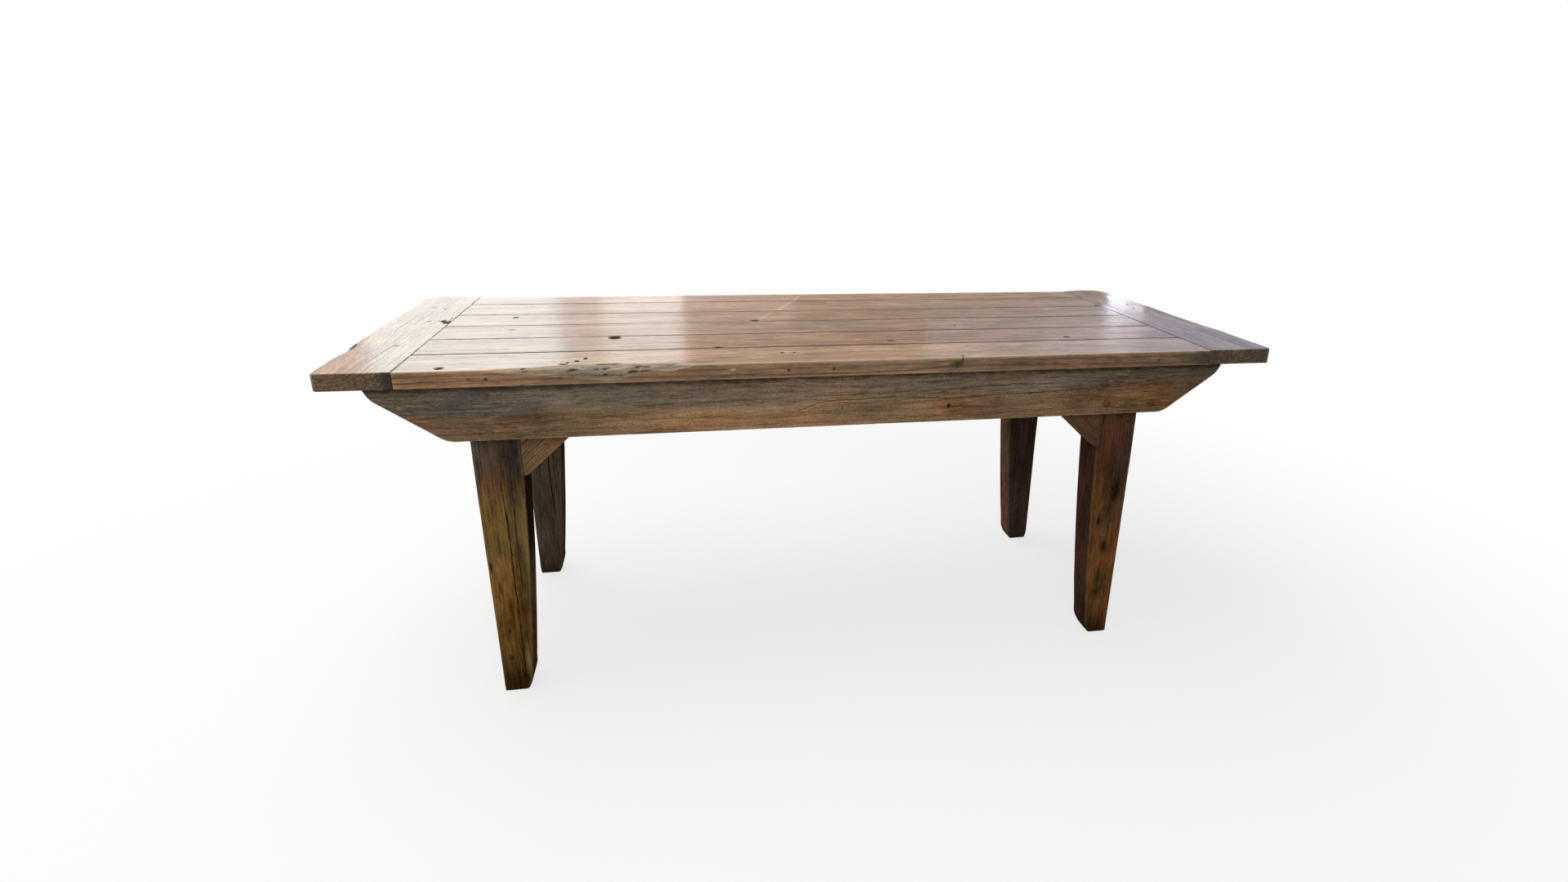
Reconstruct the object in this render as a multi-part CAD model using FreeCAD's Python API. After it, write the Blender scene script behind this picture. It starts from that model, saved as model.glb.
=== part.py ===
import FreeCAD, Part
import os
from math import sin, tan

from FreeCAD import Vector

os.makedirs("parts", exist_ok=True)

# Farmhouse table in old pine, in millimetres, +Z up.
# The origin is on the floor under the middle of the table's outline.
# +X runs along the table to the right, +Y from the front edge to the back edge.

# Whole table
table_height = 762.0
boards_length = 1680.0  # long boards, between the shoulders at the two end boards
top_width = 783.0  # across the long boards
top_thickness = 33.0
cut_overrun = 5.0  # how far a cutting shape runs past what it cuts

# Long boards, from front to back, joined by tongues and grooves
board_width_shares = (0.170, 0.174, 0.174, 0.168, 0.179, 0.135)  # of top_width
board_gap = 1.0  # open line between two boards
edge_tongue_thickness = 9.0
edge_tongue_width = 9.0
groove_spare = 0.5  # room past the tip of a tongue
end_tongue_thickness = 12.0
end_tongue_share = 0.55  # of the end board's narrower width
end_tongue_setback = 24.0  # outer boards' tongues stop short of the outer edges
end_groove_side_room = 3.0  # lets the boards swell and shrink

# End boards across the grain, hand cut, so the two are not the same width
left_end_width_front = 137.0
left_end_width_back = 132.0
right_end_width_front = 156.0
right_end_width_back = 129.0
end_overhang_back = 18.0  # past the back edge of the long boards
end_overhang_joint_share = 0.2  # of end_overhang_back, where an end board meets the long boards
end_front_corner_radius = 14.0
end_back_corner_radius = 42.0
end_back_shoulder_share = 0.45  # of the end board's back width
end_back_shoulder_radius = 50.0

# Pegs through the end boards and their tongues
end_peg_diameter = 9.0
end_peg_place_share = 0.68  # of the tongue's length, from the joint
left_peg_row_shares = (0.28, 0.60, 0.79)  # of top_width, from the front edge
right_peg_row_shares = (0.41, 0.63, 0.80)  # of top_width, from the front edge

# Side rails under the long edges
rail_height = 120.0
rail_thickness = 35.0
rail_setback = 38.0  # rail face behind the edge of the long boards
rail_reach_left = 71.0  # past the joint of the left end board
rail_reach_right = 63.0  # past the joint of the right end board
rail_nose_height = 30.0
rail_nose_lean = 14.0  # the nose slopes in by this much
rail_slant_length = 140.0  # from the tip of the nose to the straight lower edge
rail_nose_radius = 10.0
rail_slant_radius = 45.0

# Legs, square above the braces and tapered below them
leg_setback_left = 100.0  # outer face inside the left joint
leg_setback_right = 119.0  # outer face inside the right joint
leg_top_width = 94.0  # along X
leg_top_depth = 87.0  # along Y
leg_foot_width = 62.0
leg_foot_depth = 69.0
leg_foot_setin = 11.0  # outer Y face leans in by this much at the floor
leg_belly = 4.0  # swell of the tapered inner face
foot_round_width = 13.0
foot_round_height = 45.0
foot_round_swell = 4.0

# Pegs that hold the side rails to the legs
rail_peg_diameter = 16.0
rail_peg_bite_share = 0.45  # of leg_top_depth
rail_peg_height_shares = (0.20, 0.76)  # of rail_height
peg_proud = 0.6

# Knee braces in the corners between rail and leg
brace_length = 165.0
brace_height = 150.0
brace_thickness = 32.0
brace_lap_share = 0.5  # of rail_height, lapped behind the rail
brace_tip_width = 8.0  # blunted tips
nail_diameter = 4.5
nail_head_diameter = 10.0
nail_head_height = 1.8
nail_bite_share = 0.6  # of rail_thickness
nail_place_shares = (0.15, 0.42, 0.69)  # of brace_length
nail_height_share = 0.7  # of the lap, above the rail's lower edge

# Rails across the ends, tenoned into the legs
end_rail_height = 104.0
end_rail_thickness = 28.0
tenon_share = 0.37  # of leg_top_depth
tenon_thickness = 12.0
tenon_shoulder = 14.0
tenon_peg_diameter = 9.0
tenon_peg_length_share = 0.8  # of leg_top_width

# Battens across the underside of the boards
batten_width = 70.0
batten_height = 28.0
batten_place_shares = (0.214, 0.5, 0.786)  # of boards_length, from the left joint
batten_end_room = 5.0
batten_bevel_share = 0.5  # of batten_height, at the ends

# Wooden buttons that hold the top to the side rails
button_width = 40.0
button_length = 44.0
button_height = 24.0
button_lip_thickness = 10.0
button_lip_length = 12.0
button_slot_spare = 1.0

# Countersunk screws in the battens and buttons
screw_diameter = 5.0
screw_head_diameter = 10.0
screw_head_height = 3.0
screw_bite_share = 0.5  # of top_thickness

# Levels and lines that the pieces share
underside = table_height - top_thickness
rail_bottom = underside - rail_height
top_mid = underside + top_thickness / 2

front_edge = -(top_width + end_overhang_back) / 2
back_edge = front_edge + top_width

left_reach = max(left_end_width_front, left_end_width_back)
right_reach = max(right_end_width_front, right_end_width_back)
joint_left = left_reach - (left_reach + boards_length + right_reach) / 2
joint_right = joint_left + boards_length

rail_inner_front = front_edge + rail_setback + rail_thickness
rail_inner_back = back_edge - rail_setback - rail_thickness

brace_top = rail_bottom + rail_height * brace_lap_share
brace_tip = brace_top - brace_height
leg_x = {"left": joint_left + leg_setback_left, "right": joint_right - leg_setback_right}
leg_y = {"front": rail_inner_front, "back": rail_inner_back}
tenon_length = leg_top_depth * tenon_share

ends = ("left", "right")
sides = ("front", "back")
inwards = {"left": 1, "right": -1, "front": 1, "back": -1}  # direction to the middle along X or Y
nodes = {}


def block(x0, x1, y0, y1, z0, z1):
    return Part.makeBox(x1 - x0, y1 - y0, z1 - z0, Vector(x0, y0, z0))


def middle_of(start, end, swell):
    # Middle of an arc from start to end that swells by the given vector
    return (start + end) / 2 + swell


def rounded_path(corners):
    # (corner, radius) pairs become (point, middle of the arc that starts there) pairs
    path = []
    for i, (corner, radius) in enumerate(corners):
        if radius == 0:
            path.append((corner, None))
            continue
        back = (corners[i - 1][0] - corner).normalize()
        ahead = (corners[(i + 1) % len(corners)][0] - corner).normalize()
        half_angle = back.getAngle(ahead) / 2
        reach = radius / tan(half_angle)
        inward = (back + ahead).normalize()
        path.append((corner + back * reach, corner + inward * (radius / sin(half_angle) - radius)))
        path.append((corner + ahead * reach, None))
    return path


def face_from(path):
    edges = []
    for i, (start, middle) in enumerate(path):
        end = path[(i + 1) % len(path)][0]
        curve = Part.LineSegment(start, end) if middle is None else Part.Arc(start, middle, end)
        edges.append(curve.toShape())
    return Part.Face(Part.Wire(edges))


def cut_all(shape, cutters):
    # Cuts away only the cutters that reach the shape
    near = [c for c in cutters if c.BoundBox.intersect(shape.BoundBox)]
    return shape.cut(Part.makeCompound(near)).Solids[0] if near else shape


def at_leg(shape, side, end):
    # Shapes made at the front left leg's outer corner, mirrored and moved to any leg
    if end == "right":
        shape = shape.mirror(Vector(0, 0, 0), Vector(1, 0, 0))
    if side == "back":
        shape = shape.mirror(Vector(0, 0, 0), Vector(0, 1, 0))
    return shape.translated(Vector(leg_x[end], leg_y[side], 0))


# Where each long board starts and stops across the table
board_lines = [front_edge]
for share in board_width_shares:
    board_lines.append(board_lines[-1] + top_width * share / sum(board_width_shares))
board_spans = []
for i in range(len(board_width_shares)):
    start = board_lines[i] + (board_gap if i > 0 else 0)
    board_spans.append((start, board_lines[i + 1]))

# What each end of the top needs: its joint, its direction outwards and its widths
end_layout = {
    "left": (joint_left, -inwards["left"], left_end_width_front, left_end_width_back),
    "right": (joint_right, -inwards["right"], right_end_width_front, right_end_width_back),
}
peg_row_shares = {"left": left_peg_row_shares, "right": right_peg_row_shares}


def end_tongue_length(end):
    joint, out, width_front, width_back = end_layout[end]
    return min(width_front, width_back) * end_tongue_share


def outward_block(end, length, y0, y1, thickness):
    # A bar from an end's joint outwards, at the middle of the top's thickness
    joint, out = end_layout[end][:2]
    x0, x1 = sorted((joint, joint + out * length))
    return block(x0, x1, y0, y1, top_mid - thickness / 2, top_mid + thickness / 2)


# Pegs through the end boards
end_pegs = {}
for end in ends:
    joint, out = end_layout[end][:2]
    peg_x = joint + out * end_tongue_length(end) * end_peg_place_share
    end_pegs[end] = []
    for share in peg_row_shares[end]:
        foot = Vector(peg_x, front_edge + top_width * share, underside)
        end_pegs[end].append(Part.makeCylinder(end_peg_diameter / 2, top_thickness, foot))
    nodes[f"breadboard_pegs_{end}"] = Part.makeCompound(end_pegs[end])


def end_board(end):
    # Outline with a hand-cut slant outside and a rounded, projecting back end
    joint, out, width_front, width_back = end_layout[end]
    back_end = back_edge + end_overhang_back
    shoulder = joint + out * width_back * end_back_shoulder_share
    back_start = back_edge + end_overhang_back * end_overhang_joint_share
    corners = [
        (Vector(joint, front_edge, underside), 0),
        (Vector(joint + out * width_front, front_edge, underside), end_front_corner_radius),
        (Vector(joint + out * width_back, back_end, underside), end_back_corner_radius),
        (Vector(shoulder, back_end, underside), end_back_shoulder_radius),
        (Vector(joint, back_start, underside), 0),
    ]
    board = face_from(rounded_path(corners)).extrude(Vector(0, 0, top_thickness))
    groove = outward_block(
        end,
        end_tongue_length(end) + groove_spare,
        front_edge + end_tongue_setback - end_groove_side_room,
        back_edge - end_tongue_setback + end_groove_side_room,
        end_tongue_thickness,
    )
    return cut_all(board, [groove] + end_pegs[end])


for end in ends:
    nodes[f"breadboard_end_{end}"] = end_board(end)

# Side rails, made at the front and repeated at the back
rail_left = joint_left - rail_reach_left
rail_right = joint_right + rail_reach_right
rail_outline = [
    (Vector(rail_left, 0, underside), 0),
    (Vector(rail_left + rail_nose_lean, 0, underside - rail_nose_height), rail_nose_radius),
    (Vector(rail_left + rail_slant_length, 0, rail_bottom), rail_slant_radius),
    (Vector(rail_right - rail_slant_length, 0, rail_bottom), rail_slant_radius),
    (Vector(rail_right - rail_nose_lean, 0, underside - rail_nose_height), rail_nose_radius),
    (Vector(rail_right, 0, underside), 0),
]
rail_bar = face_from(rounded_path(rail_outline)).extrude(Vector(0, rail_thickness, 0))

# Pegs through a rail into a leg, at the leg's outer corner
rail_peg_length = peg_proud + rail_thickness + leg_top_depth * rail_peg_bite_share
leg_rail_pegs = []
for share in rail_peg_height_shares:
    head = Vector(leg_top_width / 2, -rail_thickness - peg_proud, rail_bottom + rail_height * share)
    leg_rail_pegs.append(Part.makeCylinder(rail_peg_diameter / 2, rail_peg_length, head, Vector(0, 1, 0)))

# Tenon at the leg's inner face and the peg that pins it
tenon_top = underside - tenon_shoulder
tenon_bottom = underside - end_rail_height + tenon_shoulder
tenon_x = leg_top_width / 2
tenon_peg_foot = Vector(-peg_proud, leg_top_depth - tenon_length / 2, (tenon_top + tenon_bottom) / 2)
tenon_peg_length = peg_proud + leg_top_width * tenon_peg_length_share
leg_tenon_peg = Part.makeCylinder(tenon_peg_diameter / 2, tenon_peg_length, tenon_peg_foot, Vector(1, 0, 0))


def leg():
    # The front view gives the taper and belly, the side view gives the lean; the leg is what both share
    foot_start = Vector(leg_foot_width - foot_round_width, 0, 0)
    foot_end = Vector(leg_foot_width, 0, foot_round_height)
    square_end = Vector(leg_top_width, 0, brace_tip)
    front_view = [
        (Vector(0, 0, 0), None),
        (foot_start, middle_of(foot_start, foot_end, Vector(foot_round_swell, 0, 0))),
        (foot_end, middle_of(foot_end, square_end, Vector(leg_belly, 0, 0))),
        (square_end, None),
        (Vector(leg_top_width, 0, underside), None),
        (Vector(0, 0, underside), None),
    ]
    foot_inner = leg_foot_setin + leg_foot_depth
    side_foot_start = Vector(0, foot_inner - foot_round_width, 0)
    side_foot_end = Vector(0, foot_inner, foot_round_height)
    side_view = [
        (Vector(0, leg_foot_setin, 0), None),
        (side_foot_start, middle_of(side_foot_start, side_foot_end, Vector(0, foot_round_swell, 0))),
        (side_foot_end, None),
        (Vector(0, leg_top_depth, brace_tip), None),
        (Vector(0, leg_top_depth, underside), None),
        (Vector(0, 0, underside), None),
        (Vector(0, 0, brace_tip), None),
    ]
    depth_reach = Vector(0, max(leg_top_depth, foot_inner) + cut_overrun, 0)
    width_reach = Vector(max(leg_top_width, leg_foot_width) + leg_belly + cut_overrun, 0, 0)
    post = face_from(front_view).extrude(depth_reach).common(face_from(side_view).extrude(width_reach))
    mortise = block(
        tenon_x - tenon_thickness / 2,
        tenon_x + tenon_thickness / 2,
        leg_top_depth - tenon_length - groove_spare,
        leg_top_depth + cut_overrun,
        tenon_bottom,
        tenon_top,
    )
    return cut_all(post.Solids[0], [mortise, leg_tenon_peg] + leg_rail_pegs)


# Knee brace beside the leg, against the back of the rail, with its nails
brace_inner = leg_top_width
brace_points = [
    Vector(brace_inner, 0, brace_top),
    Vector(brace_inner, 0, brace_tip),
    Vector(brace_inner + brace_tip_width, 0, brace_tip),
    Vector(brace_inner + brace_length, 0, brace_top - brace_tip_width),
    Vector(brace_inner + brace_length, 0, brace_top),
]
brace_bar = face_from([(p, None) for p in brace_points]).extrude(Vector(0, brace_thickness, 0))
nail_length = brace_thickness + rail_thickness * nail_bite_share
leg_brace_nails = []
for share in nail_place_shares:
    nail_z = rail_bottom + (brace_top - rail_bottom) * nail_height_share
    nail_foot = Vector(brace_inner + brace_length * share, brace_thickness, nail_z)
    shank = Part.makeCylinder(nail_diameter / 2, nail_length, nail_foot, Vector(0, -1, 0))
    head = Part.makeCylinder(nail_head_diameter / 2, nail_head_height, nail_foot, Vector(0, 1, 0))
    leg_brace_nails.append(shank.fuse(head).removeSplitter().Solids[0])

leg_post = leg()
leg_brace = cut_all(brace_bar, leg_brace_nails)
rail_pegs = {side: [] for side in sides}
brace_nails = {side: [] for side in sides}
tenon_pegs = []
for side in sides:
    for end in ends:
        nodes[f"leg_{side}_{end}"] = at_leg(leg_post, side, end)
        nodes[f"knee_brace_{side}_{end}"] = at_leg(leg_brace, side, end)
        rail_pegs[side] += [at_leg(peg, side, end) for peg in leg_rail_pegs]
        brace_nails[side] += [at_leg(nail, side, end) for nail in leg_brace_nails]
        tenon_pegs.append(at_leg(leg_tenon_peg, side, end))
    nodes[f"rail_pegs_{side}"] = Part.makeCompound(rail_pegs[side])
nodes["brace_nails"] = Part.makeCompound(brace_nails["front"] + brace_nails["back"])
nodes["tenon_pegs"] = Part.makeCompound(tenon_pegs)


def end_rail(end):
    mid_x = leg_x[end] + inwards[end] * leg_top_width / 2
    shoulder_front = rail_inner_front + leg_top_depth
    shoulder_back = rail_inner_back - leg_top_depth
    half = end_rail_thickness / 2
    bottom = underside - end_rail_height
    bar = block(mid_x - half, mid_x + half, shoulder_front, shoulder_back, bottom, underside)
    tongue_half = tenon_thickness / 2
    tenons = block(
        mid_x - tongue_half,
        mid_x + tongue_half,
        shoulder_front - tenon_length,
        shoulder_back + tenon_length,
        tenon_bottom,
        tenon_top,
    )
    return cut_all(bar.fuse(tenons).removeSplitter().Solids[0], tenon_pegs)


for end in ends:
    nodes[f"end_rail_{end}"] = end_rail(end)


def screw(x, y, z, bite):
    # Countersunk screw driven upwards from z
    head = Part.makeCone(screw_head_diameter / 2, screw_diameter / 2, screw_head_height, Vector(x, y, z))
    shank = Part.makeCylinder(screw_diameter / 2, bite, Vector(x, y, z))
    return head.fuse(shank).removeSplitter().Solids[0]


def board_grips(y_low, y_high):
    # Parts of the boards between two lines with room for a screw, clear of tongues and grooves
    grips = []
    for start, stop in board_spans:
        low = max(start + edge_tongue_width + groove_spare, y_low) + screw_head_diameter / 2
        high = min(stop, y_high) - screw_head_diameter / 2
        if low < high:
            grips.append((low, high))
    return grips


# Battens, with a screw into each board that their flat undersides reach
screw_bite = top_thickness * screw_bite_share
batten_front = rail_inner_front + batten_end_room
batten_back = rail_inner_back - batten_end_room
batten_bottom = underside - batten_height
batten_bevel = batten_height * batten_bevel_share
batten_x = {}
for name, share in zip(("left", "middle", "right"), batten_place_shares):
    batten_x[name] = joint_left + boards_length * share
batten_screws = []
for name, x in batten_x.items():
    x0 = x - batten_width / 2
    profile = [
        Vector(x0, batten_front, underside),
        Vector(x0, batten_back, underside),
        Vector(x0, batten_back, batten_bottom + batten_bevel),
        Vector(x0, batten_back - batten_bevel, batten_bottom),
        Vector(x0, batten_front + batten_bevel, batten_bottom),
        Vector(x0, batten_front, batten_bottom + batten_bevel),
    ]
    bar = face_from([(p, None) for p in profile]).extrude(Vector(batten_width, 0, 0))
    screws = []
    for low, high in board_grips(batten_front + batten_bevel, batten_back - batten_bevel):
        screws.append(screw(x, (low + high) / 2, batten_bottom, batten_height + screw_bite))
    nodes[f"batten_{name}"] = cut_all(bar, screws)
    batten_screws += screws
nodes["batten_screws"] = Part.makeCompound(batten_screws)

# Buttons, one in the middle of each bay between a leg and a batten or two battens
bay_edges = [leg_x["left"] + leg_top_width]
for x in batten_x.values():
    bay_edges += [x - batten_width / 2, x + batten_width / 2]
bay_edges.append(leg_x["right"] - leg_top_width)
bays = list(zip(bay_edges[0::2], bay_edges[1::2]))
button_bottom = underside - button_height
lip_top = button_bottom + button_lip_thickness
button_slots = {side: [] for side in sides}
button_screws = []
for side in sides:
    face_y = leg_y[side]
    inward = inwards[side]
    buttons = []
    for bay_start, bay_stop in bays:
        x0 = (bay_start + bay_stop - button_width) / 2
        x1 = x0 + button_width
        body_y = sorted((face_y, face_y + inward * button_length))
        lip_y = sorted((face_y + inward * button_lip_length, face_y - inward * button_lip_length))
        slot_depth = button_lip_length + button_slot_spare
        slot_y = sorted((face_y + inward * cut_overrun, face_y - inward * slot_depth))
        body = block(x0, x1, body_y[0], body_y[1], button_bottom, underside)
        lip = block(x0, x1, lip_y[0], lip_y[1], button_bottom, lip_top)
        slot = block(
            x0 - button_slot_spare,
            x1 + button_slot_spare,
            slot_y[0],
            slot_y[1],
            button_bottom - button_slot_spare,
            lip_top,
        )
        button_slots[side].append(slot)
        low, high = max(board_grips(body_y[0], body_y[1]), key=lambda grip: grip[1] - grip[0])
        fixing = screw((x0 + x1) / 2, (low + high) / 2, button_bottom, button_height + screw_bite)
        button_screws.append(fixing)
        buttons.append(cut_all(body.fuse(lip).removeSplitter().Solids[0], [fixing]))
    nodes[f"top_buttons_{side}"] = Part.makeCompound(buttons)
nodes["button_screws"] = Part.makeCompound(button_screws)

# Side rails with their peg holes, nail holes and button slots
rail_start = {"front": rail_inner_front - rail_thickness, "back": rail_inner_back}
for side in sides:
    bar = rail_bar.translated(Vector(0, rail_start[side], 0))
    nodes[f"side_rail_{side}"] = cut_all(bar, rail_pegs[side] + brace_nails[side] + button_slots[side])


def top_board(index):
    start, stop = board_spans[index]
    first = index == 0
    last = index == len(board_spans) - 1
    board = block(joint_left, joint_right, start, stop, underside, table_height)
    half = edge_tongue_thickness / 2
    cutters = batten_screws + button_screws + end_pegs["left"] + end_pegs["right"]
    if not first:
        groove_stop = start + edge_tongue_width + groove_spare
        cutters.append(
            block(
                joint_left - cut_overrun,
                joint_right + cut_overrun,
                start - cut_overrun,
                groove_stop,
                top_mid - half,
                top_mid + half,
            )
        )
    if not last:
        tongue_stop = stop + board_gap + edge_tongue_width
        tongue = block(joint_left, joint_right, stop, tongue_stop, top_mid - half, top_mid + half)
        board = board.fuse(tongue)
    tongue_start = start + (end_tongue_setback if first else edge_tongue_width + groove_spare)
    tongue_stop = stop - (end_tongue_setback if last else 0)
    board = cut_all(board, cutters)
    for end in ends:
        length = end_tongue_length(end)
        end_tongue = outward_block(end, length, tongue_start, tongue_stop, end_tongue_thickness)
        board = board.fuse(cut_all(end_tongue, end_pegs[end]))
    return board.removeSplitter().Solids[0]


for i in range(len(board_spans)):
    nodes[f"top_board_{i + 1}"] = top_board(i)

for name, shape in nodes.items():
    shape.exportStep(f"parts/{name}.step")
    state = "valid" if shape.isValid() else "not valid"
    print(name, len(shape.Solids), "solids", round(shape.Volume), "mm3", state)
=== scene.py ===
import math

import bpy
import numpy as np
from mathutils import Matrix, Vector


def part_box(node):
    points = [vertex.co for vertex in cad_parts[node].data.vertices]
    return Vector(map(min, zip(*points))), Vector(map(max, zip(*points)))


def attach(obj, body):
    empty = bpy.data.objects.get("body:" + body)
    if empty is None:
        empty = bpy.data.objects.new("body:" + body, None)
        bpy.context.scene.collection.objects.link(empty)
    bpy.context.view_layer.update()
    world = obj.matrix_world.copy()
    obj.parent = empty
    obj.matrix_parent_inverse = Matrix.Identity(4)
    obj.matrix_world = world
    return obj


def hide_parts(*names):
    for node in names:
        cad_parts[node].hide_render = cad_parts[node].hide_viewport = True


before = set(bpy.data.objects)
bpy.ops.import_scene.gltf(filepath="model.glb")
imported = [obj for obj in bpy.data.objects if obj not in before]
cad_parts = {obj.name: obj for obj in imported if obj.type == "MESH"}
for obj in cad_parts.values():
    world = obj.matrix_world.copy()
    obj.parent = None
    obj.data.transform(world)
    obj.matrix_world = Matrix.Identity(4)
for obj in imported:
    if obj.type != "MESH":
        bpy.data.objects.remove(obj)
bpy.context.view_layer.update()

scene = bpy.context.scene
scene.view_settings.view_transform = "Standard"
mm = 0.001
print("frame loaded")


# places on the table in mm, read from the frame: x to the right, y to the back, z up
def boxOf(node):
    low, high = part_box(node)
    return np.array(low) / mm, np.array(high) / mm


endBoxes = {end: boxOf(f"breadboard_end_{end}") for end in ("left", "right")}
jointX = {"left": endBoxes["left"][1][0], "right": endBoxes["right"][0][0]}
outX = {"left": -1, "right": 1}
frontEdge, backEdge = boxOf("top_board_1")[0][1], boxOf("top_board_6")[1][1]
underside, topFace = endBoxes["left"][0][2], endBoxes["left"][1][2]
boardGap = 1.0
boardLines = [frontEdge]
boardLines += [boxOf(f"top_board_{n}")[0][1] - boardGap / 2 for n in range(2, 7)]
boardLines += [backEdge]


# noise from 0 to 1 on a seeded lattice, the same on every run
def softNoise(points, seed):
    moved = points + 13.7 * seed
    cell = np.floor(moved).astype(np.int64)
    part = moved - cell
    part = part * part * (3 - 2 * part)
    total = np.zeros(points.shape[:-1])
    for corner in range(8):
        step = np.array((corner & 1, corner >> 1 & 1, corner >> 2))
        spot = cell + step
        mixed = spot[..., 0] * 73856093 ^ spot[..., 1] * 19349663 ^ spot[..., 2] * 83492791
        mixed = ((mixed ^ mixed >> 13) & 0x7FFFFFFF) * 1274126177 & 0x7FFFFFFF
        mixed = (mixed ^ mixed >> 15) * 747796405 & 0x7FFFFFFF
        weight = np.where(step, part, 1 - part).prod(-1)
        total += weight * ((mixed >> 8) & 0xFFFF) / 65535
    return total


# layered noise from -0.5 to 0.5
def roughNoise(points, seed, layers=3):
    total, size, weight = 0.0, 0.0, 1.0
    for layer in range(layers):
        total = total + weight * softNoise(points * 2.0**layer, seed + 31 * layer)
        size += weight
        weight *= 0.5
    return total / size - 0.5


# noise along one line, for edges that wander
def lineNoise(along, length, seed):
    points = np.stack([along / length, np.full_like(along, 0.3), np.full_like(along, 0.7)], -1)
    return roughNoise(points, seed)


def ease(start, end, value):
    share = np.clip((value - start) / (end - start), 0, 1)
    return share * share * (3 - 2 * share)


# places from low to high a step apart, closer at each (middle, reach, fine step) spot
def spread(low, high, step, spots=()):
    places = [low]
    while places[-1] < high:
        here = places[-1]
        gaps = [fine + 0.3 * max(0.0, abs(here - middle) - reach) for middle, reach, fine in spots]
        places.append(here + min([step] + gaps))
    places = np.array(places)
    return low + (places - low) * (high - low) / (places[-1] - low)


# Timber: a length of wood built as rows along the grain. Its own axes are along the grain,
# across the width and through the thickness, all in mm. The four sides go round in this order.
sideNames = ("over", "high", "under", "low")
sideNormals = np.array(((0.0, 1.0), (1.0, 0.0), (0.0, -1.0), (-1.0, 0.0)))  # across, through
crossAxis = {"over": 1, "under": 1, "high": 2, "low": 2}  # a mark's second place on that side
lineKinds = ("crack", "scratch", "grain")
softKinds = ("stain", "shade", "rub", "swirl", "gold", "amber")  # these press nothing in: no finer mesh
raises = {"stain": "grime", "amber": "amber", "rub": "light"}  # what a mark of this kind raises
arrisLimit = 0.45  # share of a side that an arris may take up


# a piece's directions along, across and through, named by the table's axes
def axesOf(letters):
    return np.eye(3)[["xyz".index(letter) for letter in letters]]


def valuesAt(value, along):
    return value(along) if callable(value) else np.full(len(along), float(value))


# where marks need a finer mesh: along the piece (axis 0) or across one of its sides (axis 1)
def markSpots(marks, side, axis):
    spots = []
    for kind, face, *sizes in marks:
        if side not in (None, face):
            continue
        if kind in lineKinds and axis == 1:
            first, last, width = sizes[1], sizes[3], sizes[4]
            fine = max(0.5, width * (0.45 if kind == "crack" else 0.7))
            spots.append(((first + last) / 2, abs(last - first) / 2 + width, fine))
        elif kind not in lineKinds + softKinds:
            half = sizes[2 + axis]
            spots.append((sizes[axis], half * 1.2, max(0.7, half * 0.22)))
    return spots


def timberRows(piece):
    start, stop = piece["span"]
    rim = piece.get("rim", 2.0)
    turns = np.radians((90.0, 60.0, 30.0))
    capSizes = np.array((0.12, 0.38, 0.64, 0.86))
    spots = markSpots(piece["marks"], None, 0) + list(piece.get("alongSpots", ()))
    inner = spread(start + rim, stop - rim, piece["step"], spots)
    headIn, headAt = rim * (1 - np.cos(turns)), rim * (1 - np.sin(turns))
    caps, ones = np.ones(len(capSizes)), np.ones(len(inner) + 6)
    along = np.concatenate([start * caps, start + headAt, inner, (stop - headAt)[::-1], stop * caps])
    inset = np.concatenate([rim * caps, headIn, np.zeros(len(inner)), headIn[::-1], rim * caps])
    scale = np.concatenate([capSizes, ones, capSizes[::-1]])
    return along, inset, scale


def squeeze(low, high, inset):
    middle = (low + high) / 2
    half = np.maximum((high - low) / 2 - inset, 0.05)
    return middle - half, middle + half


# the arris settings: reach on each side of the edge, how worn and how grimy it is, and its facets
def arrisOf(piece, number, along):
    own, other, worn, grime, facets = piece["arris"][number]
    return valuesAt(own, along), valuesAt(other, along), worn, grime, facets


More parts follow.
